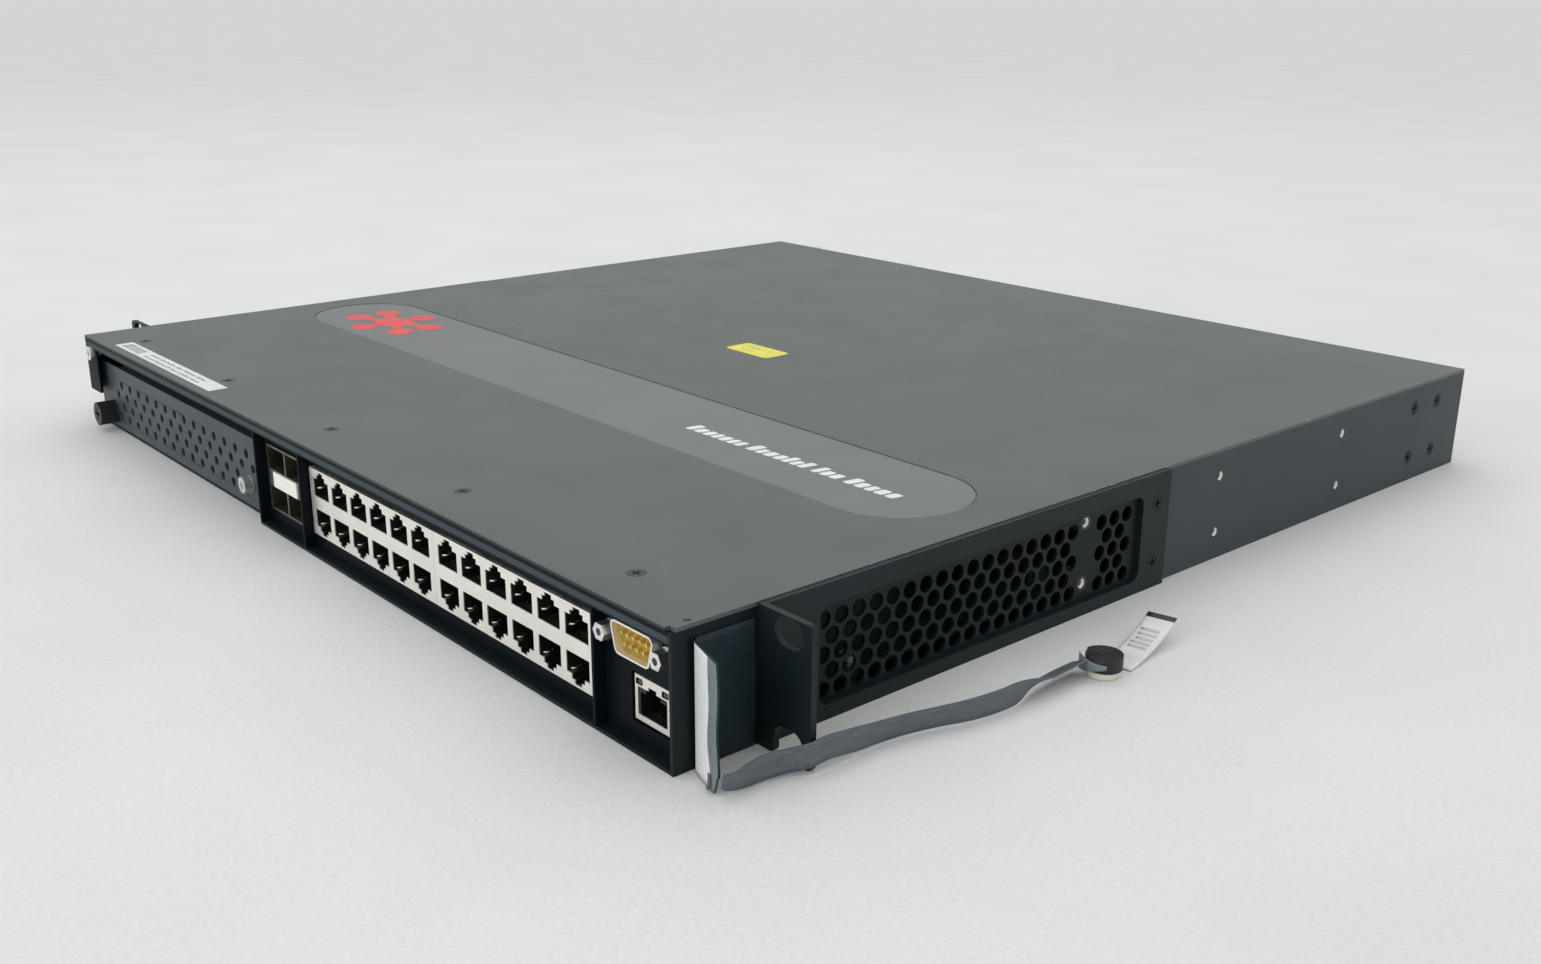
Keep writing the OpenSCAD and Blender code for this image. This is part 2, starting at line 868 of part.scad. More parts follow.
module rack_ear() {
    color(black_paint)
        difference() {
            union() {
                plate_yz(half_w, ear_t)
                    rack_ear_plate();
                translate([half_w, 0, 0])
                    plate_xz(ear_front_d, ear_t)
                        rack_ear_flange();
            }
            for (z = ear_screw_zs)
                translate([half_w + ear_t, front_y + ear_screw_d, z])
                    rotate([0, 90, 0])
                        countersink(cover_screw_head, 5);
        }
}

module rack_ear_right() {
    rack_ear();
}

module rack_ear_left() {
    mirror([1, 0, 0])
        rack_ear();
}

module main_board() {
    color(board_green)
        difference() {
            front_block([board_x0, board_d0, board_z], [board_x1, board_d1, board_top]);
            for (x = board_screw_xs, d = board_screw_ds)
                translate([x, front_y + d, 0])
                    cylinder(r = 1.5, h = 10);
        }
}

module board_standoffs() {
    color(bright_steel)
        for (x = board_screw_xs, d = board_screw_ds)
            translate([x, front_y + d, sheet])
                difference() {
                    cylinder(d = 6, h = board_z - sheet, $fn = 6);
                    translate([0, 0, -overrun])
                        cylinder(r = 1.4, h = 10);
                }
}

// Chip packages, capacitors, inductors and plug headers: [x, d, width, depth, height]
module board_chips() {
    packages = [
        [50, 120, 34, 34, 3.2], [140, 120, 34, 34, 3.2], [95, 225, 30, 30, 3.2],
        [10, 60, 20, 20, 1.6], [45, 60, 20, 20, 1.6], [80, 60, 20, 20, 1.6],
        [115, 60, 20, 20, 1.6], [150, 60, 20, 20, 1.6], [186, 60, 20, 20, 1.6],
        [0, 120, 12, 18, 1.2], [0, 145, 12, 18, 1.2], [95, 120, 12, 18, 1.2],
        [95, 145, 12, 18, 1.2], [40, 225, 14, 14, 1.2], [60, 265, 18, 12, 1.2],
        [-22, 230, 10, 55, 12], [118, 284, 120, 8, 9]
    ];
    color(jack_black) {
        for (p = packages)
            translate([p[0] - p[2] / 2, front_y + p[1] - p[3] / 2, board_top])
                cube([p[2], p[3], p[4]]);
        for (x = [-10:13:16], d = [200, 214, 228])
            translate([x, front_y + d, board_top])
                cylinder(r = 4.5, h = 13);
        for (i = [0:5])
            translate([135 + i * 12, front_y + 160, board_top])
                cube([9, 9, 6]);
    }
}

// Finned heat sinks on the large packages
module heatsinks() {
    chip_top = board_top + 3.2;
    fin_pitch = 4;
    color(bright_steel)
        for (p = [[50, 120, 46], [140, 120, 46], [95, 225, 42]])
            translate([p[0], front_y + p[1], chip_top]) {
                translate([-p[2] / 2, -p[2] / 2, 0])
                    cube([p[2], p[2], 3]);
                for (i = [0:floor(p[2] / fin_pitch)])
                    translate([-p[2] / 2 + i * fin_pitch, -p[2] / 2, 2.9])
                        cube([1.2, p[2], 20]);
            }
}

// Laptop-size memory module in its low socket
module memory_module() {
    color(board_green) {
        translate([155, front_y + 205, board_top + 3.5])
            cube([30, 67.6, 1]);
        for (d = [205, 229, 253])
            translate([160, front_y + d + 2, board_top + 4.45])
                cube([12, 14, 1.1]);
    }
    color(jack_black)
        translate([184, front_y + 203, board_top])
            difference() {
                cube([6, 71.6, 5.2]);
                translate([-overrun, 1.9, 3.4])
                    cube([2.1, 67.8, 1.2]);
            }
}

// Upright board that joins the power supplies to the main board, with its two blade sockets
module power_backplane() {
    color(board_green)
        difference() {
            front_block([-216, backplane_d, 3], [-40, backplane_d + 1.6, 36]);
            for (i = [0:10], z = [28:3:34])
                rod_y(-140 + i * 9, z, backplane_d - overrun, backplane_d + 5, 1.1);
        }
    color(jack_black)
        for (x = psu_xs)
            translate([x + psu_w / 2, 0, 12])
                front_block([-26, backplane_d + 1.6, -5], [26, body_d - psu_d - 0.4, 5]);
}

// Perforated panel that closes the option slot, with return flanges above and below
module slot_filler() {
    x0 = -216;
    x1 = bay_right - 0.8;
    top = 30.5;
    bottom = 1.6;
    face = 4;
    columns = 14;
    pitch = 10.5;
    first_x = -195.5;
    color(black_paint)
        difference() {
            union() {
                front_block([x0, face, bottom], [x1, face + sheet, top]);
                front_block([-194, face, top - sheet], [x1 - 1, 14, top]);
                front_block([-194, face, bottom], [x1 - 24, 14, bottom + sheet]);
            }
            for (row = [0:3], i = [0:columns - row % 2]) {
                x = first_x + (i + (row % 2) / 2) * pitch;
                z = 7.4 + row * 5.1;
                if (norm([x - captive_x, z - captive_z]) > 6)
                    rod_y(x, z, face - overrun, face + 2 * sheet, filler_hole_d / 2);
            }
            rod_y(knob_x, knob_z, face - overrun, face + 3, 2.1);
            rod_y(captive_x, captive_z, face - overrun, face + 3, 1.7);
        }
}

module filler_knob() {
    color(jack_black)
        translate([knob_x, front_y + 3.9, knob_z])
            rotate([90, 0, 0])
                thumbscrew(5.3, 3.9 + knob_reach, 2, 7, 18);
}

module filler_screw() {
    color(bright_steel)
        translate([captive_x, front_y + 3.9, captive_z])
            rotate([90, 0, 0])
                thumbscrew(3.4, 3.7, 1.6, 7, 16);
}

// Ring-shaped guard slots with four bridges, as a cut
module guard_slots(r) {
    difference() {
        union() {
            for (k = [1:3])
                difference() {
                    circle(r * k / 3);
                    circle(r * k / 3 - r * 0.2);
                }
        }
        for (a = [45, 135])
            rotate(a)
                square([2 * r + overrun, 1.6], center = true);
    }
}

module psu_case(x) {
    y1 = rear_y;
    y0 = psu_front_y;
    color(plain_steel)
        difference() {
            union() {
                difference() {
                    block([x, y0, psu_z], [x + psu_w, y1, psu_z + psu_h]);
                    block(
                        [x + psu_wall, y0 + psu_wall, psu_z + psu_wall],
                        [x + psu_w - psu_wall, y1 - psu_wall, psu_z + psu_h - psu_wall]
                    );
                }
                rod_y(x + psu_fan_x, psu_mid_z, body_d - 4, body_d - 0.5, 5);
            }
            block([x + 12, y0 - overrun, 6.6], [x + psu_w - 12, y0 + 2, 17.5]);
            block(
                [x + psu_latch_x - 0.3, y1 - 2, psu_latch_z - 0.3],
                [x + psu_latch_x + psu_latch_w + psu_latch_travel + 0.3, y1 + overrun, psu_latch_z + psu_latch_h + 0.3]
            );
            block([x + psu_inlet_x - 12.4, y1 - 2, psu_mid_z - 9.4], [x + psu_inlet_x + 12.4, y1 + overrun, psu_mid_z + 9.4]);
            difference() {
                plate_xz(body_d - 2, 4)
                    translate([x + psu_fan_x, psu_mid_z])
                        guard_slots(psu_fan_r);
                rod_y(x + psu_fan_x, psu_mid_z, body_d - 6, body_d + 6, 5);
            }
            rod_y(x + psu_fan_x, psu_mid_z, body_d - 6, body_d - 1, 1 + running_gap);
            for (i = [0:9], z = [psu_mid_z - 8, psu_mid_z, psu_mid_z + 8])
                rod_x(x - overrun, x + psu_w + overrun, y0 + 12 + i * 7, z, 2);
        }
}

// Strap handle, a flat loop with its two feet on the supply's rear face
module psu_handle(x) {
    reach = handle_reach;
    mid_z = psu_handle_z + psu_handle_h / 2;
    color(bright_steel)
        intersection() {
            plate_yz(x + 0.5, psu_handle_w)
                translate([rear_y + reach / 2 - 3, mid_z])
                    difference() {
                        rounded_rect(reach + 6, psu_handle_h, 5);
                        rounded_rect(reach + 6 - 2 * psu_handle_t, psu_handle_h - 2 * psu_handle_t, 3);
                    }
            block([x, rear_y, 0], [x + 20, rear_y + reach, 50]);
        }
}

// Thumb latch: a ribbed tab outside and a plate that runs behind the rear face
module psu_latch(x) {
    x0 = x + psu_latch_x;
    color(latch_green)
        difference() {
            union() {
                block([x0, rear_y - 6, psu_latch_z], [x0 + psu_latch_w, rear_y + 11, psu_latch_z + psu_latch_h]);
                block([x + 2, rear_y - 3, psu_latch_z - 2], [x0 + 5.4, rear_y - 1.3, psu_latch_z + psu_latch_h + 2]);
            }
            for (i = [0:3])
                block(
                    [x0 - overrun, rear_y + 2.2 + i * 2.2, psu_latch_z - overrun],
                    [x0 + 0.5, rear_y + 3.2 + i * 2.2, psu_latch_z + psu_latch_h + overrun]
                );
        }
}

// Mains inlet: flanged body with a deep recess and three blades
module psu_inlet(x) {
    color(jack_black)
        translate([x + psu_inlet_x, rear_y, psu_mid_z]) {
            difference() {
                union() {
                    block([-12.2, -20, -9.2], [12.2, 0, 9.2]);
                    block([-13.6, 0, -11.4], [13.6, 1.6, 11.4]);
                }
                block([-11.2, -16, -8.2], [11.2, 5, 8.7]);
            }
            for (p = [[-7, -2.8], [0, 0.6], [7, -2.8]])
                block([p[0] - 1, -16.1, p[1] - 2], [p[0] + 1, -2.5, p[1] + 2]);
        }
}

// Supply's own board with transformers, capacitors and a heat-sink wall
module psu_board(x) {
    z0 = psu_z + psu_wall + 3;
    y0 = psu_front_y + 3;
    color(board_green)
        block([x + 3, y0, z0], [x + psu_w - 3, rear_y - 34, z0 + 1.6]);
    color(gold)
        block([x + 16, psu_front_y - 0.1, 9], [x + psu_w - 16, y0 + 6, 10.4]);
    color("dimgray")
        for (p = [[10, 30, 26, 28, 22], [44, 36, 24, 24, 20], [8, 96, 30, 26, 18], [66, 20, 3, 120, 24]])
            translate([x + p[0], y0 + p[1], z0 + 1.5])
                cube([p[2], p[3], p[4]]);
    color(jack_black)
        for (p = [[50, 78], [50, 100], [50, 122], [20, 70], [20, 84]])
            translate([x + p[0], y0 + p[1], z0 + 1.5])
                cylinder(r = 6, h = 24);
}

// Fan rotor: hub, tilted blades and an axle stub towards +Y; its front face is at the given depth
module rotor(x, z, d, tip_r, hub_r, length, blades, axle, stub) {
    translate([x, front_y + d, z])
        rotate([-90, 0, 0]) {
            cylinder(r = hub_r, h = length);
            translate([0, 0, length - snug])
                cylinder(r = axle, h = stub + snug);
            intersection() {
                translate([0, 0, 0.5])
                    cylinder(r = tip_r, h = length - 1);
                for (i = [0:blades - 1])
                    rotate(i * 360 / blades)
                        translate([hub_r - 0.6, 0, length / 2])
                            rotate([38, 0, 0])
                                translate([0, -0.5, -length])
                                    cube([tip_r, 1, 2 * length]);
            }
        }
}

module psu_rotor(x) {
    color(jack_black)
        rotor(x + psu_fan_x, psu_mid_z, body_d - 20, psu_fan_r - 0.4, 5.4, 15.6, 7, 1, 2.6);
}

// Tray floor, rear face plate with guards, and the plug that meets the main board
module fan_tray() {
    color(plain_steel)
        difference() {
            union() {
                front_block([tray_x0 + 9, tray_open_d, tray_z], [tray_x1 - 9, body_d + 0.1, tray_z + sheet]);
                front_block([tray_x0, body_d, 1.4], [tray_x1, body_d + sheet, 40]);
                front_block([tray_mid_x - 20, tray_open_d - 5, tray_z], [tray_mid_x + 20, tray_open_d + 2, 12]);
            }
            plate_xz(body_d - overrun, 4)
                for (x = fan_xs)
                    translate([x, fan_z])
                        guard_slots(fan_bore_r);
            for (x = [tray_x0 + 3, tray_x1 - 3])
                rod_y(x, fan_z, body_d - 5, body_d + 5, 1.6);
        }
}

module fan_frames() {
    hub_t = 3;
    color(jack_black)
        for (x = fan_xs)
            difference() {
                union() {
                    difference() {
                        plate_xz(fan_d, fan_depth)
                            translate([x, fan_z])
                                rounded_rect(fan_size, fan_size, 2.5);
                        rod_y(x, fan_z, fan_d - overrun, fan_d + fan_depth + overrun, fan_bore_r);
                    }
                    rod_y(x, fan_z, fan_d + fan_depth - hub_t, fan_d + fan_depth, 8);
                    for (a = [45, 135])
                        translate([x, front_y + fan_d + fan_depth - hub_t / 2, fan_z])
                            rotate([0, a, 0])
                                cube([2 * fan_bore_r + 1, hub_t, 2], center = true);
                }
                rod_y(x, fan_z, fan_d, fan_d + fan_depth + overrun, axle_r + running_gap);
                for (sx = [-1, 1], sz = [-1, 1])
                    rod_y(x + sx * (fan_size / 2 - 2.6), fan_z + sz * (fan_size / 2 - 2.6),
                        fan_d - overrun, fan_d + fan_depth + overrun, 1.3);
            }
}

module fan_rotor(i) {
    color(jack_black)
        rotor(fan_xs[i], fan_z, fan_d + 1.5, fan_tip_r, 8, fan_depth - 5.2, 7, axle_r, 2.5);
}

module fan_tray_screw(x) {
    color(bright_steel)
        translate([x, rear_y + sheet + 0.1, fan_z])
            rotate([-90, 0, 0])
                thumbscrew(thumbscrew_r, 8, 1.5, 8, 18);
}

// Tag: a thin sheet along the side wall whose front part turns outwards as a flap
module tag_sheet() {
    t = 0.5;
    bend_r = 1.75;
    bend_d = 8;
    flap_turn = 72.8;
    flap_length = 16.3;
    wall_end_d = ear_front_d - 0.9;
    centre = [half_w + 0.35 + bend_r, front_y + bend_d];
    color(ribbon_grey)
        translate([0, 0, 0.4])
            linear_extrude(37) {
                translate([half_w + 0.1, front_y + bend_d - 0.01])
                    square([t, wall_end_d - bend_d]);
                translate(centre)
                    intersection() {
                        difference() {
                            circle(bend_r + t / 2);
                            circle(bend_r - t / 2);
                        }
                        polygon([
                            [0, 0], [-9, 0], [-9, -9],
                            9 * [cos(180 + flap_turn), sin(180 + flap_turn)]
                        ]);
                    }
                translate(centre)
                    rotate(180 + flap_turn)
                        translate([bend_r - t / 2, -0.01])
                            square([t, flap_length]);
            }
}

// Point on the smooth curve through the route, in the span after point i
function route_point(i, u) =
    let (
        last = len(ribbon_route) - 1,
        a = ribbon_route[max(i - 1, 0)],
        b = ribbon_route[i],
        c = ribbon_route[min(i + 1, last)],
        e = ribbon_route[min(i + 2, last)]
    )
    0.5 * (2 * b + (c - a) * u + (2 * a - 5 * b + 4 * c - e) * u * u + (3 * b - a - 3 * c + e) * u * u * u);

// Section of the ribbon standing on edge: eight points round a flat bar
function ribbon_ring(p, heading) =
    let (
        side = [heading[1], -heading[0], 0] / norm([heading[0], heading[1]]),
        t = ribbon_t / 2,
        h = ribbon_w / 2,
        c = ribbon_t / 4
    )
    [
        for (q = [[t, c - h], [t, h - c], [t - c, h], [c - t, h], [-t, h - c], [-t, c - h], [c - t, -h], [t - c, -h]])
            p + side * q[0] + [0, 0, q[1]]
    ];

module strap_ribbon() {
    line = [
        for (i = [0:len(ribbon_route) - 2], k = [0:ribbon_steps - 1]) route_point(i, k / ribbon_steps),
        ribbon_route[len(ribbon_route) - 1]
    ];
    last = len(line) - 1;
    sides = 8;
    rings = [
        for (i = [0:last])
            ribbon_ring(line[i], line[min(i + 1, last)] - line[max(i - 1, 0)])
    ];
    points = [for (r = rings, p = r) p];
    around = [
        for (i = [0:last - 1], k = [0:sides - 1])
            [i * sides + k, i * sides + (k + 1) % sides, (i + 1) * sides + (k + 1) % sides, (i + 1) * sides + k]
    ];
    start_cap = [for (k = [sides - 1:-1:0]) k];
    end_cap = [for (k = [0:sides - 1]) last * sides + k];
    color(ribbon_grey)
        polyhedron(points, concat([start_cap], around, [end_cap]), convexity = 6);
}

module strap_roll() {
    rim_h = 2.4;
    color(jack_black)
        translate([roll_x, roll_y, 0]) {
            cylinder(r = roll_r - 0.9, h = roll_h);
            translate([0, 0, rim_h])
                cylinder(r = roll_r, h = roll_h - rim_h);
        }
}

// Printed end of the strap, which curls up away from the roll
module strap_end_label() {
    length = 31.3;
    width = 10;
    t = 0.6;
    steps = 12;
    curve = [for (i = [0:steps]) [length * i / steps, 0.3 + 6.4 * pow(i / steps, 2)]];
    color(clear_white)
        translate([253.73, -80.54, 0])
            rotate([0, 0, 100])
                translate([0, width / 2, 0])
                    rotate([90, 0, 0])
                        linear_extrude(width)
                            polygon(concat(curve, [for (i = [steps:-1:0]) curve[i] + [0, t]]));
}

base_pan();
side_wall_right();
side_wall_left();
rear_panel();
top_cover();
front_bezel();
badge_plate();
asset_label();
yellow_sticker();
rack_ear_right();
rack_ear_left();
black_screws();
side_studs();
silver_screws();
bank_shield(bank_xs[0]);  // rj45_shield_left
bank_shield(bank_xs[1]);  // rj45_shield_right
bank_housing(bank_xs[0]);  // rj45_housing_left
bank_housing(bank_xs[1]);  // rj45_housing_right
jack_contacts();
sfp_cage();
light_pipes();
serial_shell();
serial_insert();
serial_pins();
serial_jackscrews();
mgmt_shield();
mgmt_housing();
main_board();
board_standoffs();
board_chips();
heatsinks();
memory_module();
power_backplane();
tag_sheet();
strap_ribbon();
strap_roll();
strap_end_label();
slot_filler();
filler_knob();
filler_screw();
psu_case(psu_xs[0]);  // psu_a_case
psu_handle(psu_xs[0]);  // psu_a_handle
psu_latch(psu_xs[0]);  // psu_a_latch
psu_inlet(psu_xs[0]);  // psu_a_inlet
psu_board(psu_xs[0]);  // psu_a_board
psu_rotor(psu_xs[0]);  // psu_a_rotor
psu_case(psu_xs[1]);  // psu_b_case
psu_handle(psu_xs[1]);  // psu_b_handle
psu_latch(psu_xs[1]);  // psu_b_latch
psu_inlet(psu_xs[1]);  // psu_b_inlet
psu_board(psu_xs[1]);  // psu_b_board
psu_rotor(psu_xs[1]);  // psu_b_rotor
fan_tray();
fan_frames();
fan_rotor(0);  // fan_rotor_1
fan_rotor(1);  // fan_rotor_2
fan_rotor(2);  // fan_rotor_3
fan_rotor(3);  // fan_rotor_4
fan_tray_screw(tray_x0 + 3);  // fan_tray_screw_left
fan_tray_screw(tray_x1 - 3);  // fan_tray_screw_right
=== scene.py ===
"""Looks of a one-unit rack network appliance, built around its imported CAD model.

Lengths are in metres in the model's own frame: +X is to the right seen from the front, +Y to the rear
and +Z up, with the origin on the resting surface.
"""

import json
import math
import random

import bmesh
import bpy
from mathutils import Matrix, Vector


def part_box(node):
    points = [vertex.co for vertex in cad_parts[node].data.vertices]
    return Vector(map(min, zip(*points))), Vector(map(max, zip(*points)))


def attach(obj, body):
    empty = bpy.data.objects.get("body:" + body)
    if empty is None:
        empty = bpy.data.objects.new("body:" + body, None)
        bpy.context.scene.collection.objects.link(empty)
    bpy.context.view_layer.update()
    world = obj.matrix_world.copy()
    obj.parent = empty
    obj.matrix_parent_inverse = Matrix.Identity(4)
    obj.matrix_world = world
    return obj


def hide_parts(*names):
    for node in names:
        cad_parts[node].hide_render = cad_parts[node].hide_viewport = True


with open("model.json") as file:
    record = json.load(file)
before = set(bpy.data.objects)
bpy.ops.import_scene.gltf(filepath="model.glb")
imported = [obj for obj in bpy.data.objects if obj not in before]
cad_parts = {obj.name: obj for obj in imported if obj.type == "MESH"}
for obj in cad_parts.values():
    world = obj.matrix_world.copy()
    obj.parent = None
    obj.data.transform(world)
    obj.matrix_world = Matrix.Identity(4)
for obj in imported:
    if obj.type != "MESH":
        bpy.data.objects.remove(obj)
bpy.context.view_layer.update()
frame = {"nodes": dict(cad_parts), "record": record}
nodes = frame["nodes"]
MM = 0.001
UP = Vector((0, 0, 1))

# Planes of the body, from the CAD model
COVER_LOW, COVER_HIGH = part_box("top_cover")
FRONT = COVER_LOW.y
TOP = COVER_HIGH.z
HALF_W = COVER_HIGH.x


# ---------------------------------------------------------------- camera

CAMERA_PLACE = Vector((0.49894, -0.43357, 0.19446))
CAMERA_AZIMUTH = math.radians(48.83)
CAMERA_ELEVATION = math.radians(18.08)
CAMERA_ROLL = math.radians(0.31)
CAMERA_LENS = 35.42


def make_camera():
    data = bpy.data.cameras.new("camera")
    data.lens = CAMERA_LENS
    data.clip_start = 0.01
    azimuth, elevation, roll = CAMERA_AZIMUTH, CAMERA_ELEVATION, CAMERA_ROLL
    back = Vector((
        math.sin(azimuth) * math.cos(elevation),
        -math.cos(azimuth) * math.cos(elevation),
        math.sin(elevation),
    ))
    right = Vector((math.cos(azimuth), math.sin(azimuth), 0))
    up = back.cross(right)
    cam_x = right * math.cos(roll) + up * math.sin(roll)
    cam_y = up * math.cos(roll) - right * math.sin(roll)
    turn = Matrix((cam_x, cam_y, back)).transposed().to_4x4()
    camera = bpy.data.objects.new("camera", data)
    camera.matrix_world = Matrix.Translation(CAMERA_PLACE) @ turn
    bpy.context.scene.collection.objects.link(camera)
    bpy.context.scene.camera = camera


# ---------------------------------------------------------------- mesh helpers

def piece_from(bm, name, material, smooth=True):
    """Turns a bmesh into a piece of the object that rides on the chassis."""
    bmesh.ops.recalc_face_normals(bm, faces=bm.faces)
    mesh = bpy.data.meshes.new(name)
    bm.to_mesh(mesh)
    bm.free()
    for polygon in mesh.polygons:
        polygon.use_smooth = smooth
    mesh.materials.append(material)
    piece = bpy.data.objects.new(name, mesh)
    bpy.context.scene.collection.objects.link(piece)
    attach(piece, "chassis")
    return piece


def add_sheet(bm, place, rows, cols, thickness):
    """Adds a thin closed sheet. place(u, v) is a point of its middle surface, for u and v from 0 to 1."""
    grid = [[Vector(place(i / rows, j / cols)) for j in range(cols + 1)] for i in range(rows + 1)]

    def normal(i, j):
        along = grid[min(i + 1, rows)][j] - grid[max(i - 1, 0)][j]
        across = grid[i][min(j + 1, cols)] - grid[i][max(j - 1, 0)]
        return along.cross(across).normalized()

    def side(offset):
        return [
            [bm.verts.new(grid[i][j] + normal(i, j) * offset) for j in range(cols + 1)]
            for i in range(rows + 1)
        ]

    front, back = side(thickness / 2), side(-thickness / 2)
    for i in range(rows):
        for j in range(cols):
            bm.faces.new((front[i][j], front[i + 1][j], front[i + 1][j + 1], front[i][j + 1]))
            bm.faces.new((back[i][j], back[i][j + 1], back[i + 1][j + 1], back[i + 1][j]))
    for i in range(rows):
        for j in (0, cols):
            bm.faces.new((front[i][j], front[i + 1][j], back[i + 1][j], back[i][j]))
    for j in range(cols):
        for i in (0, rows):
            bm.faces.new((front[i][j], front[i][j + 1], back[i][j + 1], back[i][j]))


def join_loops(bm, a, b):
    """Adds the faces between two closed loops with as many points."""
    for k in range(len(a)):
        after = (k + 1) % len(a)
        bm.faces.new((a[k], a[after], b[after], b[k]))


def add_prism(bm, outline, place, thickness):
    """Adds a thin prism. outline is a list of (u, v), and place(u, v, w) maps it into space at height w."""
    low = [bm.verts.new(place(u, v, 0)) for u, v in outline]
    high = [bm.verts.new(place(u, v, thickness)) for u, v in outline]
    bm.faces.new(low)
    bm.faces.new(high)
    join_loops(bm, low, high)


def rounded_box(cx, cy, w, h, r, steps=4, slant=0.0):
    """Outline of a box with round corners, leaning by a slant."""
    points = []
    for quarter, (sx, sy) in enumerate(((1, 1), (-1, 1), (-1, -1), (1, -1))):
        for k in range(steps + 1):
            a = (quarter + k / steps) * math.pi / 2
            x = sx * (w / 2 - r) + r * math.cos(a)
            y = sy * (h / 2 - r) + r * math.sin(a)
            points.append((cx + x + slant * y, cy + y))
    return points


def circle(r, steps):
    """Points of a circle round the origin."""
    return [(r * math.cos(k * math.tau / steps), r * math.sin(k * math.tau / steps)) for k in range(steps)]


def disc(cx, cy, r):
    """Outline of a disc."""
    return [(cx + x, cy + y) for x, y in circle(r, 32)]


def spoke(x0, y0, x1, y1, w):
    """Outline of a straight bar between two points."""
    dx, dy = x1 - x0, y1 - y0
    length = math.hypot(dx, dy)
    nx, ny = -dy / length * w / 2, dx / length * w / 2
    return [(x0 + nx, y0 + ny), (x0 - nx, y0 - ny), (x1 - nx, y1 - ny), (x1 + nx, y1 + ny)]


def lathe(bm, profile, place, steps=48):
    """Adds a turned solid. profile is a list of (radius, height) from the axis back to the axis."""
    rings = []
    for radius, height in profile:
        around = circle(radius, steps) if radius > 0 else [(0, 0)]
        rings.append([bm.verts.new(place(x, y, height)) for x, y in around])
    for low, high in zip(rings, rings[1:]):
        for k in range(steps):
            after = (k + 1) % steps
            corners = [low[k % len(low)], low[after % len(low)], high[after % len(high)], high[k % len(high)]]
            unique = list(dict.fromkeys(corners))
            if len(unique) > 2:
                bm.faces.new(unique)


def ease(t):
    """Smooth step from 0 to 1."""
    t = min(max(t, 0.0), 1.0)
    return t * t * (3 - 2 * t)


# ---------------------------------------------------------------- material helper

class Look:
    """A Principled material built from procedural layers in the piece's own coordinates."""

    def __init__(self, name, roughness=0.5, metallic=0.0, specular=0.5, **constants):
        self.material = bpy.data.materials.new(name)
        self.material.use_nodes = True
        self.tree = self.material.node_tree
        self.shader = self.tree.nodes["Principled BSDF"]
        self.shader.inputs["Roughness"].default_value = roughness
        self.shader.inputs["Metallic"].default_value = metallic
        self.shader.inputs["Specular IOR Level"].default_value = specular
        for key, value in constants.items():
            self.shader.inputs[key.replace("_", " ")].default_value = value
        self.place = self.node("ShaderNodeTexCoord").outputs["Object"]

    def node(self, kind, inputs=None, **settings):
        made = self.tree.nodes.new(kind)
        for key, value in settings.items():
            setattr(made, key, value)
        for key, value in (inputs or {}).items():
            self.put(made.inputs[key], value)
        return made

    def put(self, socket, value):
        if isinstance(value, bpy.types.NodeSocket):
            self.tree.links.new(value, socket)
        else:
            socket.default_value = value

    def stretched(self, x, y, z, place=None):
        """Coordinates stretched along the axes."""
        values = {0: place or self.place, 1: (x, y, z)}
        return self.node("ShaderNodeVectorMath", values, operation="MULTIPLY").outputs[0]

    def noise(self, size, detail=3.0, rough=0.55, place=None):
        """Noise whose features are about that size in metres."""
        values = {"Vector": place or self.place, "Scale": 1 / size, "Detail": detail, "Roughness": rough}
        return self.node("ShaderNodeTexNoise", values).outputs["Fac"]

    def cells(self, size, place=None, output="Distance"):
        """Voronoi cells about that size in metres."""
        values = {"Vector": place or self.place, "Scale": 1 / size}
        return self.node("ShaderNodeTexVoronoi", values).outputs[output]

    def axis(self, name):
        """One coordinate of the piece."""
        return self.node("ShaderNodeSeparateXYZ", {0: self.place}).outputs[name]

    def step(self, value, low, high, start=0.0, end=1.0):
        """Maps a value from low..high to start..end, smoothly and clamped."""
        values = {"Value": value, "From Min": low, "From Max": high, "To Min": start, "To Max": end}
        return self.node("ShaderNodeMapRange", values, interpolation_type="SMOOTHSTEP").outputs["Result"]

    def math(self, operation, a, b=0.0):
        return self.node("ShaderNodeMath", {0: a, 1: b}, operation=operation).outputs[0]

    def mix(self, factor, a, b):
        """Blend of two colours."""
        made = self.node("ShaderNodeMix", data_type="RGBA")
        self.put(made.inputs[0], factor)
        self.put(made.inputs[6], a if isinstance(a, bpy.types.NodeSocket) else (*a, 1))
        self.put(made.inputs[7], b if isinstance(b, bpy.types.NodeSocket) else (*b, 1))
        return made.outputs[2]

    def base(self, colour):
        self.put(self.shader.inputs["Base Color"], colour)

    def rough(self, value):
        self.put(self.shader.inputs["Roughness"], value)

    def metal(self, value):
        self.put(self.shader.inputs["Metallic"], value)

    def bump(self, height, depth, strength=1.0):
        """Relief from a 0..1 height, that many metres deep."""
        values = {"Height": height, "Distance": depth, "Strength": strength}
        made = self.node("ShaderNodeBump", values)
        self.tree.links.new(made.outputs["Normal"], self.shader.inputs["Normal"])


# ---------------------------------------------------------------- materials

WORN_METAL = (0.42, 0.43, 0.43)


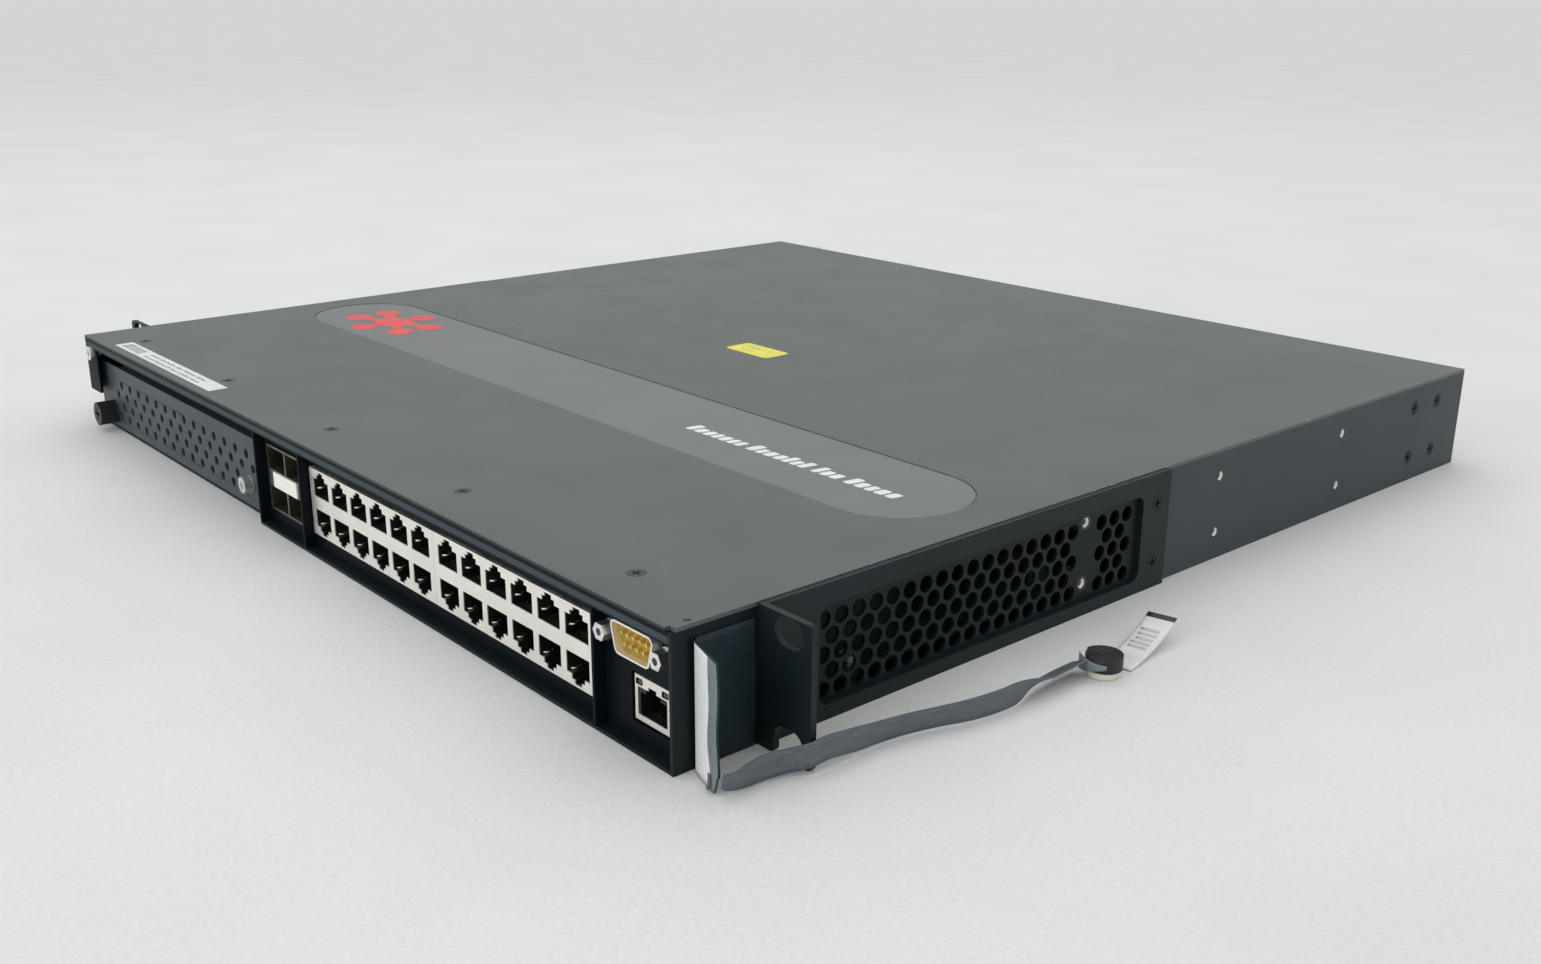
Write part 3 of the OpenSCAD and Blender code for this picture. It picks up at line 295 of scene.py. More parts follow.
def powder_coat(name, dark, light, roughness, wear, specular=0.5, zone=None, zone_colour=None):
    """Satin powder coat: fine orange peel, faint handling marks, rubbed spots where wear says, and a second
    colour where zone says."""
    look = Look(name, specular=specular)
    grain = look.noise(0.9 * MM, detail=2)
    cloud = look.noise(60 * MM, detail=4)
    smear = look.noise(35 * MM, detail=6, rough=0.65)
    tone = look.math("ADD", look.math("MULTIPLY", grain, 0.35), look.math("MULTIPLY", cloud, 0.65))
    paint = look.mix(look.step(tone, 0.3, 0.7), dark, light)
    if zone:
        paint = look.mix(zone(look), paint, zone_colour)
    worn = wear(look)
    look.base(look.mix(worn, paint, WORN_METAL))
    look.metal(look.math("MULTIPLY", worn, 0.8))
    smooth = look.step(smear, 0.35, 0.75, roughness - 0.03, roughness + 0.04)
    look.rough(look.math("SUBTRACT", smooth, look.math("MULTIPLY", worn, 0.12)))
    look.bump(look.math("ADD", grain, look.math("MULTIPLY", worn, -0.8)), 0.05 * MM, 0.35)
    return look.material


def scratches(look, angle, size, share):
    """Thin straight marks: noise drawn out along one direction, cut high, and broken up by patches."""
    values = {"Vector": look.place, "Angle": angle}
    turned = look.node("ShaderNodeVectorRotate", values, rotation_type="Z_AXIS").outputs[0]
    line = look.noise(size, detail=2, place=look.stretched(0.02, 1, 1, turned))
    patch = look.noise(30 * MM, detail=2)
    thin = look.step(line, share, share + 0.03)
    return look.math("MULTIPLY", thin, look.step(patch, 0.56, 0.68))


def cover_wear(look):
    """Scratches on the cover, denser towards the right-hand edge, and chips along that edge."""
    x, z = look.axis("X"), look.axis("Z")
    near_edge = look.step(x, HALF_W - 90 * MM, HALF_W - 10 * MM, 0.25, 1.0)
    lines = look.math("ADD", scratches(look, 0.5, 1.2 * MM, 0.72), scratches(look, -1.1, 1.6 * MM, 0.74))
    rubbed = look.math("MULTIPLY", look.math("MULTIPLY", lines, near_edge), 0.4)
    outermost = look.step(x, HALF_W - 0.7 * MM, HALF_W - 0.1 * MM)
    rim = look.math("MULTIPLY", outermost, look.step(z, TOP - 0.5 * MM, TOP))
    chip = look.step(look.noise(5 * MM, detail=4), 0.6, 0.66)
    dust = look.step(look.noise(1.6 * MM, detail=1), 0.79, 0.83, 0.0, 0.22)
    marks = look.math("ADD", rubbed, look.math("MULTIPLY", look.math("MULTIPLY", rim, chip), 0.35))
    return look.math("MINIMUM", look.math("ADD", marks, dust), 1.0)


def body_wear(look):
    """A few light rubs."""
    return look.math("MULTIPLY", scratches(look, 0.9, 1.4 * MM, 0.74), 0.25)


def wall_rear_outside_ear_shade(look):
    """Rear part of the side walls, painted lighter; the part round the ears is painted near-black as shade.
    """
    return look.step(look.axis("Y"), -18 * MM, -8 * MM)


def painted_band_and_lip_shadow(look):
    """Middle of the strip over the ports, painted lighter as the lit band between two dark edges; the upper
    dark edge is painted shadow under the cover's lip.
    """
    z = look.axis("Z")
    above = look.step(z, TOP - 4.6 * MM, TOP - 4.3 * MM)
    return look.math("MULTIPLY", above, look.step(z, TOP - 2.3 * MM, TOP - 2.6 * MM))


def cover_edge_painted_shadow(look):
    """Lower part of the cover's folded front edge, painted near-black as the shadow of the gap under the
    cover's lip.
    """
    at_front = look.step(look.axis("Y"), FRONT + 0.5 * MM, FRONT + 0.2 * MM)
    return look.math("MULTIPLY", at_front, look.step(look.axis("Z"), TOP - 0.25 * MM, TOP - 0.45 * MM))


def screw_faces(look):
    """Heads that lie in the cover."""
    return look.step(look.axis("Z"), TOP - 1.5 * MM, TOP - 1.2 * MM)


def plain_metal(name, colour, shade, roughness, grain_size, brushed=(1, 1, 1)):
    """Plated or bare metal with a drawn or mottled finish and small smudges."""
    look = Look(name, metallic=1.0)
    grain = look.noise(grain_size, detail=4, place=look.stretched(*brushed))
    smudge = look.noise(9 * MM, detail=3)
    look.base(look.mix(look.step(grain, 0.3, 0.7), shade, colour))
    look.rough(look.step(smudge, 0.3, 0.7, roughness - 0.07, roughness + 0.08))
    look.bump(grain, 0.01 * MM, 0.3)
    return look.material


def painted_nut():
    """Bright steel nut whose outer face is under the wall's paint."""
    look = Look("painted_nut", metallic=1.0)
    side = look.math("ABSOLUTE", look.axis("X"))
    paint = look.step(side, HALF_W - 0.08 * MM, HALF_W - 0.02 * MM)
    grain = look.noise(1.2 * MM, detail=3)
    steel = look.mix(grain, (0.80, 0.80, 0.78), (0.97, 0.97, 0.95))
    look.base(look.mix(paint, steel, (0.03, 0.035, 0.04)))
    look.metal(look.math("SUBTRACT", 1.0, paint))
    look.rough(look.step(grain, 0.3, 0.7, 0.4, 0.5))
    look.bump(grain, 0.02 * MM, 0.3)
    return look.material


def galvanised():
    """Zinc-coated sheet with its spangle."""
    look = Look("galvanised", metallic=1.0)
    spangle = look.cells(7 * MM, output="Color")
    shade = look.node("ShaderNodeSeparateColor", {0: spangle}).outputs[0]
    fine = look.noise(1.2 * MM, detail=3)
    tone = look.math("ADD", look.math("MULTIPLY", shade, 0.7), look.math("MULTIPLY", fine, 0.3))
    look.base(look.mix(tone, (0.38, 0.40, 0.41), (0.62, 0.63, 0.64)))
    look.rough(look.step(tone, 0, 1, 0.32, 0.52))
    look.bump(fine, 0.01 * MM, 0.3)
    return look.material


def moulded(name, colour, light, roughness=0.42, **constants):
    """Moulded plastic: fine spark texture and slight flow marks."""
    look = Look(name, **constants)
    spark = look.noise(0.5 * MM, detail=2)
    flow = look.noise(8 * MM, detail=3, place=look.stretched(1, 0.3, 1))
    look.base(look.mix(look.step(flow, 0.3, 0.75), colour, light))
    look.rough(look.step(spark, 0.2, 0.8, roughness - 0.08, roughness + 0.1))
    look.bump(spark, 0.02 * MM, 0.35)
    return look.material


def paper(name, colour, stain, roughness=0.55):
    """Label stock with faint fibres and handling stains."""
    look = Look(name)
    fibre = look.noise(0.7 * MM, detail=4)
    dirt = look.noise(7 * MM, detail=4)
    tone = look.math("ADD", look.math("MULTIPLY", fibre, 0.3), look.math("MULTIPLY", dirt, 0.7))
    look.base(look.mix(look.step(tone, 0.42, 0.72), colour, stain))
    look.rough(look.step(dirt, 0.3, 0.7, roughness - 0.08, roughness + 0.08))
    look.bump(fibre, 0.02 * MM, 0.3)
    return look.material


def conductive_film(name, dark, light, specular=0.5):
    """Carbon-filled film with faint scuffs along its length."""
    look = Look(name, specular=specular)
    streak = look.noise(2.2 * MM, detail=5, place=look.stretched(1, 0.35, 2.5))
    scuff = look.noise(0.8 * MM, detail=3)
    tone = look.math("ADD", look.math("MULTIPLY", streak, 0.7), look.math("MULTIPLY", scuff, 0.3))
    look.base(look.mix(look.step(tone, 0.3, 0.75), dark, light))
    look.rough(look.step(streak, 0.3, 0.7, 0.36, 0.56))
    look.bump(tone, 0.05 * MM, 0.5)
    return look.material


def solder_mask_painted_shade():
    """Green laminate with faint traces under the mask, darkened nearly to black as painted shade inside the
    chassis.
    """
    look = Look("solder_mask_painted_shade", specular=0.5, Coat_Weight=0.3, Coat_Roughness=0.2)
    x_lines = look.cells(2.4 * MM, place=look.stretched(1, 0.12, 1))
    y_lines = look.cells(2.4 * MM, place=look.stretched(0.12, 1, 1))
    trace = look.math("MAXIMUM", look.step(x_lines, 0.32, 0.26), look.step(y_lines, 0.3, 0.24))
    look.base(look.mix(trace, (0.003, 0.024, 0.013), (0.008, 0.050, 0.024)))
    look.rough(look.step(look.noise(3 * MM), 0.3, 0.7, 0.3, 0.45))
    look.bump(trace, 0.03 * MM, 0.4)
    return look.material


def floor_material():
    """Pale matt surface with a fine tooth."""
    look = Look("floor", specular=0.3)
    fine = look.noise(1.6 * MM, detail=4, rough=0.7)
    broad = look.noise(120 * MM, detail=3)
    tone = look.math("ADD", look.math("MULTIPLY", fine, 0.6), look.math("MULTIPLY", broad, 0.4))
    look.base(look.mix(look.step(tone, 0.3, 0.7), (0.76, 0.765, 0.755), (0.84, 0.845, 0.835)))
    look.rough(look.step(fine, 0.3, 0.7, 0.6, 0.8))
    look.bump(fine, 0.3 * MM, 0.5)
    return look.material


MATERIALS = {
    "cover_paint": powder_coat(
        "cover_paint", (0.081, 0.097, 0.092), (0.091, 0.107, 0.102), 0.5, cover_wear,
        # painted shadow: near-black on the lower part of the cover's front edge
        zone=cover_edge_painted_shadow, zone_colour=(0.004, 0.006, 0.007),
    ),
    "body_paint": powder_coat(
        "body_paint", (0.004, 0.009, 0.012), (0.007, 0.013, 0.016), 0.5, body_wear, 0.16,
    ),
    "badge_print": powder_coat(
        "badge_print", (0.145, 0.158, 0.150), (0.165, 0.178, 0.170), 0.5, body_wear,
    ),
    "label_paper": paper("label_paper", (0.82, 0.83, 0.83), (0.66, 0.67, 0.68)),
    "sticker_yellow": paper("sticker_yellow", (0.86, 0.80, 0.06), (0.72, 0.66, 0.06), 0.45),
    "black_fastener": powder_coat(
        "black_fastener", (0.011, 0.015, 0.017), (0.015, 0.019, 0.021), 0.5, body_wear, 0.2,
        zone=screw_faces, zone_colour=(0.060, 0.068, 0.066),
    ),
    "bright_fastener": plain_metal("bright_fastener", (0.92, 0.92, 0.90), (0.78, 0.78, 0.77), 0.36, 2 * MM),
    "jack_shield": plain_metal("jack_shield", (0.98, 0.96, 0.89), (0.93, 0.91, 0.84), 0.5, 3 * MM, (4, 1, 1)),
    "cage_steel": plain_metal(
        "cage_steel", (0.26, 0.25, 0.19), (0.15, 0.145, 0.11), 0.42, 3 * MM, (1, 0.3, 1),
    ),
    "galvanised": galvanised(),
    "contact_gold": plain_metal("contact_gold", (0.90, 0.70, 0.30), (0.75, 0.55, 0.20), 0.25, 1 * MM),
    "serial_chromate": plain_metal("serial_chromate", (0.62, 0.43, 0.09), (0.44, 0.29, 0.06), 0.38, 2 * MM),
    "connector_black": moulded("connector_black", (0.006, 0.006, 0.006), (0.012, 0.012, 0.013)),
    "clear_pipe": moulded("clear_pipe", (0.93, 0.90, 0.82), (0.98, 0.96, 0.90), 0.3),
    # painted shade: the board's green is darkened nearly to black
    "board_laminate": solder_mask_painted_shade(),
    "chip_epoxy": moulded("chip_epoxy", (0.012, 0.012, 0.013), (0.022, 0.022, 0.024), 0.5),
    "heatsink_alloy": plain_metal(
        "heatsink_alloy", (0.80, 0.81, 0.82), (0.62, 0.63, 0.64), 0.34, 3 * MM, (1, 0.1, 1),
    ),
    "strap_film": conductive_film("strap_film", (0.075, 0.090, 0.103), (0.125, 0.142, 0.158)),
    "roll_foam": moulded("roll_foam", (0.010, 0.011, 0.012), (0.022, 0.024, 0.026), 0.5),
    "knob_black": moulded("knob_black", (0.010, 0.011, 0.012), (0.020, 0.021, 0.022), 0.45),
    "latch_green": moulded("latch_green", (0.03, 0.16, 0.10), (0.045, 0.21, 0.13), 0.35),
    "fan_black": moulded("fan_black", (0.012, 0.012, 0.013), (0.022, 0.022, 0.024), 0.4),
}

# Looks of single nodes, and of pieces that are only here
EAR_PAINT = powder_coat("ear_paint", (0.006, 0.013, 0.015), (0.010, 0.018, 0.020), 0.5, body_wear, 0.25)
# Near-black bezel paint with a painted lit band over the ports, and a painted shadow above the band, under
# the cover's lip.
BEZEL_PAINT = powder_coat(
    "bezel_paint", (0.002, 0.005, 0.007), (0.004, 0.008, 0.010), 0.5, body_wear, 0.1,
    zone=painted_band_and_lip_shadow, zone_colour=(0.045, 0.063, 0.074),
)
# Side-wall paint in two tones for light and shade: near-black painted shade round the ears, lighter behind
# them.
WALL_PAINT = powder_coat(
    "wall_paint", (0.004, 0.009, 0.011), (0.007, 0.013, 0.015), 0.5, body_wear, 0.22,
    zone=wall_rear_outside_ear_shade, zone_colour=(0.050, 0.059, 0.064),
)
FILLER_PAINT = powder_coat("filler_paint", (0.040, 0.052, 0.062), (0.052, 0.064, 0.074), 0.5, body_wear, 0.5)
NODE_MATERIALS = {
    "rack_ear_right": EAR_PAINT, "rack_ear_left": EAR_PAINT, "side_wall_right": WALL_PAINT,
    "side_wall_left": WALL_PAINT, "slot_filler": FILLER_PAINT, "side_studs": painted_nut(),
    "front_bezel": BEZEL_PAINT,
}
TAG_FILM = conductive_film("tag_film", (0.012, 0.024, 0.030), (0.021, 0.037, 0.045), 0.2)
# Paler film for the tag's edge strips, and a painted sheen on the ribbon's fold round its roll.
PALE_FILM_AND_FOLD_SHEEN = conductive_film("pale_film_and_fold_sheen", (0.13, 0.16, 0.18), (0.22, 0.26, 0.28), 0.6)
CREAM_FOAM = moulded("cream_foam", (0.70, 0.66, 0.55), (0.80, 0.77, 0.66), 0.6)
SMOKED_LENS = moulded("smoked_lens", (0.010, 0.011, 0.010), (0.018, 0.019, 0.017), 0.2, Coat_Weight=0.6)
RED_INK = moulded("red_ink", (0.72, 0.035, 0.03), (0.82, 0.06, 0.05), 0.45)
WHITE_INK = moulded("white_ink", (0.80, 0.82, 0.81), (0.88, 0.89, 0.88), 0.45)
GREY_INK = moulded("grey_ink", (0.30, 0.31, 0.32), (0.38, 0.39, 0.40), 0.5)
DARK_INK = moulded("dark_ink", (0.03, 0.03, 0.035), (0.05, 0.05, 0.055), 0.5)
PALE_INK = moulded("pale_ink", (0.50, 0.51, 0.51), (0.58, 0.59, 0.59), 0.5)


def dress_cad_nodes():
    """Gives every CAD node its slot's material, and small bevels to the large sheet-metal ones."""
    for entry in frame["record"]["subparts"]:
        node = nodes[entry["node"]]
        node.data.materials.clear()
        node.data.materials.append(NODE_MATERIALS.get(entry["node"], MATERIALS[entry["material_slot"]]))
    for name in ("top_cover", "front_bezel", "base_pan", "rack_ear_right", "rack_ear_left", "slot_filler"):
        weld = nodes[name].modifiers.new("weld", "WELD")
        weld.merge_threshold = 0.002 * MM
        bevel = nodes[name].modifiers.new("bevel", "BEVEL")
        bevel.width = 0.25 * MM
        bevel.segments = 2
        bevel.limit_method = "ANGLE"
        bevel.angle_limit = math.radians(50)


# ---------------------------------------------------------------- strap

RIBBON_ROUTE = [
    (0.2374, -0.2206, 0.0043), (0.2382, -0.2170, 0.0043), (0.2378, -0.2120, 0.0043),
    (0.2378, -0.2060, 0.0043), (0.2394, -0.2000, 0.0046), (0.2424, -0.1952, 0.0056),
    (0.2432, -0.1900, 0.0064), (0.2432, -0.1840, 0.0058), (0.2429, -0.1770, 0.0048),
    (0.2429, -0.1700, 0.0042), (0.2440, -0.1620, 0.0041), (0.2466, -0.1520, 0.0041),
    (0.2496, -0.1420, 0.0041), (0.2514, -0.1310, 0.0041), (0.2512, -0.1200, 0.0041),
    (0.2500, -0.1100, 0.0041), (0.2493, -0.1010, 0.0041), (0.2490, -0.0920, 0.0041),
]
RIBBON_WIDTH = 8 * MM
RIBBON_THICKNESS = 0.4 * MM
ROLL_CENTRE = Vector((0.2538, -0.0872, 0))
ROLL_RADIUS = 6.2 * MM
ROLL_LOW = 2.4 * MM
ROLL_HIGH = 6.8 * MM


def route_point(t):
    """Point on the smooth curve through the route, for t from 0 to 1."""
    spans = len(RIBBON_ROUTE) - 1
    i = min(int(t * spans), spans - 1)
    u = t * spans - i
    a, b, c, e = (Vector(RIBBON_ROUTE[min(max(k, 0), spans)]) for k in (i - 1, i, i + 1, i + 2))
    square, cube = 2 * a - 5 * b + 4 * c - e, 3 * b - a - 3 * c + e
    return 0.5 * (2 * b + (c - a) * u + square * u * u + cube * u ** 3)


def make_ribbon():
    """The flat ribbon, on edge along the surface, which turns over before it meets its roll."""
    rows = 120
    path = [route_point(i / rows) for i in range(rows + 1)]
    length = sum((b - a).length for a, b in zip(path, path[1:]))
    full_twist = math.radians(64)
    sway = math.radians(22)

    def place(u, v):
        heading = route_point(min(u + 0.005, 1)) - route_point(max(u - 0.005, 0))
        outward = heading.cross(UP).normalized()
        at_start = math.exp(-((u - 0.03) / 0.07) ** 2)
        at_bend = 0.6 * math.exp(-((u - 0.62) / 0.12) ** 2)
        lean = sway * (at_start + at_bend) + full_twist * ease((u - 0.79) / 0.1)
        ripple = 0.06 * MM * math.sin(u * 45) * math.cos(v * 3)
        share = 0.9 - 0.15 * (1 - ease(u / 0.12))
        corner = 0.15 * (1 - ease(u / 0.03)) * (1 - v)
        height = RIBBON_WIDTH * ((v - 0.5) * share + corner + 0.48 * (1 - share))
        upward = UP * math.cos(lean) + outward * math.sin(lean)
        return route_point(u) + upward * height + outward * ripple

    bm = bmesh.new()
    add_sheet(bm, place, rows, 4, RIBBON_THICKNESS)
    ribbon = piece_from(bm, "wrist_ribbon", MATERIALS["strap_film"])
    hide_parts("strap_ribbon")
    return ribbon, path, length


def make_roll():
    """The rolled end: a spiral of film on a cream foam disc, and the ribbon's last bit folded round it, in a
    paler film that paints the sheen on the fold.
    """
    turns = 6.5
    pitch = 0.8 * MM
    film = 0.62 * MM

    def place(u, v):
        angle = math.pi - u * turns * math.tau
        radius = ROLL_RADIUS - 0.35 * MM - pitch * u * turns
        height = ROLL_LOW + (ROLL_HIGH - ROLL_LOW) * v + 0.12 * MM * math.sin(u * 40) * (2 * v - 1)
        height = min(height, ROLL_HIGH - 0.05 * MM)
        return ROLL_CENTRE + Vector((radius * math.cos(angle), radius * math.sin(angle), height))

    bm = bmesh.new()
    add_sheet(bm, place, 260, 3, film)
    roll = piece_from(bm, "wound_end", MATERIALS["roll_foam"])
    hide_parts("strap_roll")
    bm = bmesh.new()
    r, h, c = ROLL_RADIUS - 0.9 * MM, ROLL_LOW, 0.5 * MM
    lift = 0.02 * MM
    profile = [(0, lift), (r - c, lift), (r, c), (r, h - c), (r - c, h), (0, h)]
    lathe(bm, profile, lambda x, y, z: ROLL_CENTRE + Vector((x, y, z)))
    foot = piece_from(bm, "roll_pad", CREAM_FOAM)

    def wrap(u, v):
        angle = math.radians(-148 + 104 * u)
        low, high = (1.4 + 2.8 * u) * MM, (6.7 - 1.2 * u) * MM
        radius = ROLL_RADIUS + 0.2 * MM + 0.7 * MM * (1 - ease(u / 0.3))
        height = low + (high - low) * v
        return ROLL_CENTRE + Vector((radius * math.cos(angle), radius * math.sin(angle), height))

    bm = bmesh.new()
    add_sheet(bm, wrap, 24, 3, 0.3 * MM)
    # painted sheen: the fold takes the paler film instead of the ribbon's own
    fold = piece_from(bm, "ribbon_end_fold_sheen", PALE_FILM_AND_FOLD_SHEEN)
    return roll, foot, fold


def make_end_label():
    """Printed end of the strap: a curling white strip with a greeked block and a dark end bar."""
    length, width, rise = 31.3 * MM, 10 * MM, 6.4 * MM
    start = Vector((253.73, -80.54, 0.65)) * MM
    bearing = math.radians(100)
    heading = Vector((math.cos(bearing), math.sin(bearing), 0))
    across = UP.cross(heading)

    def surface(u, v, lift=0.0):
        warp = math.sin(u * 5.2) * 0.25 * MM * u
        point = start + heading * length * u + across * (width * (v - 0.5)) + UP * (rise * u * u)
        return point + UP * (lift + warp * (v - 0.5))

    bm = bmesh.new()
    add_sheet(bm, surface, 40, 6, 0.25 * MM)
    label = piece_from(bm, "strap_end_tab", MATERIALS["label_paper"])
    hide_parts("strap_end_label")

    def patch(name, u0, u1, v0, v1, material, slot):
        """A print on part of the strip."""
        bm = bmesh.new()
        add_sheet(
            bm, lambda u, v: surface(u0 + (u1 - u0) * u, v0 + (v1 - v0) * v, 0.17 * MM),
            16, 4, 0.03 * MM,
        )
        return piece_from(bm, name, material)

    patches = [patch("end_tab_bar", 0.93, 0.995, 0.01, 0.99, DARK_INK, "roll_foam")]
    random.seed(4)
    for k in range(5):
        u0 = 0.42 + 0.075 * k
        v1 = 0.86 - 0.2 * random.random()
        patches.append(patch(f"end_tab_line_{k + 1}", u0, u0 + 0.045, 0.22, v1, PALE_INK, "label_paper"))
    return [label, *patches]


def make_tag():
    """Tag on the side wall: it runs forward along the wall and its front flap turns outwards."""
    low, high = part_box("tag_sheet")
    bend_r = 3.2 * MM
    wall_x = HALF_W + 0.35 * MM
    bend_y = FRONT + 9.07 * MM
    wall_end = high.y
    turn = math.radians(72.8)
    flap = 15.2 * MM
    wall_length = wall_end - bend_y
    arc_length = bend_r * turn
    total = wall_length + arc_length + flap
    centre = Vector((wall_x + bend_r, bend_y, 0))
    flap_way = Vector((math.sin(turn), -math.cos(turn), 0))
    arc_end = centre + Vector((-math.cos(turn), -math.sin(turn), 0)) * bend_r

    def plan(s):
        if s < wall_length:
            return Vector((wall_x, wall_end - s, 0))
        if s < wall_length + arc_length:
            a = (s - wall_length) / bend_r
            return centre + Vector((-math.cos(a), -math.sin(a), 0)) * bend_r
        return arc_end + flap_way * (s - wall_length - arc_length)

    def surface(u, v):
        edge_wave = 0.5 * MM * math.sin(v * 9 + 1) * ease((u - 0.8) / 0.2)
        point = plan(min(u * total + edge_wave - 0.5 * MM * ease((u - 0.9) / 0.1), total))
        cut = 0.16 * ease((u - 0.9) / 0.09) * (1 - v) ** 2
        return point + UP * (low.z + (high.z - low.z) * (v + cut))

    bm = bmesh.new()
    add_sheet(bm, surface, 60, 16, 0.4 * MM)
    tag = piece_from(bm, "side_tag", TAG_FILM)
    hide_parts("tag_sheet")
    outward = Vector((flap_way.y, -flap_way.x, 0))
    flap_start = (wall_length + arc_length * 0.6) / total
    flap_end = 0.985
    seam = flap_start + 0.62 * (flap_end - flap_start)

    def strip(name, u0, u1, wave, lift, material):
        """A layer on the tag's outer face, with a wavy right edge where wave isn't 0."""

        def place(u, v):
            edge = u1 + wave * math.sin(v * 11 + 0.5) * (1 - v) * u
            return surface(u0 + (edge - u0) * u, 0.01 + 0.98 * v) + outward * lift

        bm = bmesh.new()
        add_sheet(bm, place, 20, 24, 0.05 * MM)
        return piece_from(bm, name, material)

    lap = 0.02
    strip("tag_edge_film", seam - lap, flap_end, 0.0, 0.26 * MM, PALE_FILM_AND_FOLD_SHEEN)
    strip("tag_fold_film", flap_start - 0.035, flap_start + lap, 0.0, 0.24 * MM, PALE_FILM_AND_FOLD_SHEEN)
    strip("tag_face", flap_start, seam, 0.03, 0.33 * MM, MATERIALS["label_paper"])
    tail_top = surface(seam + lap, 0.12) + outward * 0.5 * MM
    tail_length, tail_width = 4.2 * MM, 1.6 * MM

    def tail(u, v):
        sway = Vector((0.4 * MM * math.sin(u * 3), 0, 0)) + outward * 0.6 * MM * u
        return tail_top - UP * tail_length * u + flap_way * (tail_width * (v - 0.5)) + sway

    bm = bmesh.new()
    add_sheet(bm, tail, 8, 2, 0.2 * MM)
    piece_from(bm, "tag_tail", MATERIALS["strap_film"])


# ---------------------------------------------------------------- prints on the cover

def cover_print(name, outlines, z, material, thickness=0.04 * MM):
    """Thin prints on the cover, each a hair thicker than the last, so that none share a face."""
    bm = bmesh.new()
    for k, outline in enumerate(outlines):
        extra = 0.0005 * MM * k
        add_prism(bm, outline, lambda u, v, w: (u, v, z + w), thickness + extra)
    piece_from(bm, name, material, smooth=False)


def greeked_words(counts, x, y, letter_w, letter_h, seed):
    """Blocks in the rhythm of words: one leaning block for each letter, with no letter shapes."""
    random.seed(seed)
    gap = letter_w * 0.28
    outlines = []
    for count in counts:
        for k in range(count):
            tall = k == 0 or random.random() < 0.25
            w = letter_w * random.uniform(0.8, 1.1)
            h = letter_h * (1.0 if tall else 0.74)
            outlines.append(rounded_box(x + w / 2, y + h / 2, w, h, w * 0.25, 3, slant=0.18))
            x += w + gap
        x += letter_w * 0.7
    return outlines


def make_badge_prints():
    """A generic hub-and-spokes mark in red, and greeked words in white, on the badge."""
    low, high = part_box("badge_plate")
    surface = high.z + 0.01 * MM
    mid_y = (low.y + high.y) / 2
    hub_x = low.x + 50 * MM
    reach_x, reach_y = 24 * MM, 15.5 * MM
    outlines = [disc(hub_x, mid_y, 9 * MM)]
    for k in range(6):
        a = math.radians(30 + 60 * k)
        x, y = hub_x + reach_x * math.cos(a), mid_y + reach_y * math.sin(a)
        outlines.append(spoke(hub_x, mid_y, x, y, 4.6 * MM))
        outlines.append(disc(x, y, 6.0 * MM))
    cover_print("hub_mark", outlines, surface, RED_INK)
    words = greeked_words((7, 7, 3, 5), 78 * MM, mid_y - 6 * MM, 3.7 * MM, 6.6 * MM, 11)
    cover_print("badge_words", words, surface, WHITE_INK)


def make_label_prints():
    """Greeked rows and a bar pattern on the white label, and greeked rows on the yellow sticker."""
    ink_thickness = 0.015 * MM
    low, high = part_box("asset_label")
    rows = []
    for k, y in enumerate((low.y + 1.4 * MM, low.y + 4.4 * MM)):
        rows += greeked_words((6, 9, 4, 7, 5), low.x + 30 * MM, y, 1.5 * MM, 1.7 * MM, 20 + k)
    random.seed(7)
    x = low.x + 4 * MM
    while x < low.x + 24 * MM:
        w = random.choice((0.4, 0.6, 0.9)) * MM
        rows.append(rounded_box(x, (low.y + high.y) / 2, w, 5 * MM, 0.1 * MM, 1))
        x += w + random.choice((0.5, 0.8)) * MM
    cover_print("label_rows", rows, high.z, GREY_INK, ink_thickness)
    low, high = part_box("yellow_sticker")
    rows = []
    for k in range(2):
        y = low.y + (4 + 4.5 * k) * MM
        rows += greeked_words((3, 4), low.x + 7 * MM, y, 0.8 * MM, 1.2 * MM, 30 + k)
    cover_print("sticker_rows", rows, high.z, GREY_INK, ink_thickness)


# ---------------------------------------------------------------- jacks and nuts

NUT_DEPTHS = (167.5 * MM, 243.5 * MM, 326.5 * MM)
NUT_HEIGHTS = (10.4 * MM, 31.4 * MM)
JACK_PITCH = 14.2 * MM
JACK_HALF_MOUTH = 5.7 * MM
JACK_ROW_OFFSET = 6.8 * MM


def add_finger(bm, x, z, side, face_y):
    """Spring finger of the shield: it starts at the edge of a mouth and bows into it."""

    def place(u, v):
        bow = 1.0 * MM * math.sin(math.pi * min(u * 1.25, 1.0))
        return (
            x + side * (JACK_HALF_MOUTH - bow),
            face_y + 1.3 * MM + 3.4 * MM * u,
            z - 1.9 * MM + 0.6 * MM * (v - 0.5),
        )

    add_sheet(bm, place, 10, 2, 0.15 * MM)


def make_shield_fingers():
    """Spring fingers on both sides of the 24 stacked mouths."""
    bm = bmesh.new()
    for name in ("rj45_shield_left", "rj45_shield_right"):
        low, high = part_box(name)
        centre = (low + high) / 2
        for column in range(6):
            for row in (-1, 1):
                for side in (-1, 1):
                    x = centre.x + (column - 2.5) * JACK_PITCH
                    add_finger(bm, x, centre.z + row * JACK_ROW_OFFSET, side, low.y)
    piece_from(bm, "shield_fingers", MATERIALS["jack_shield"])


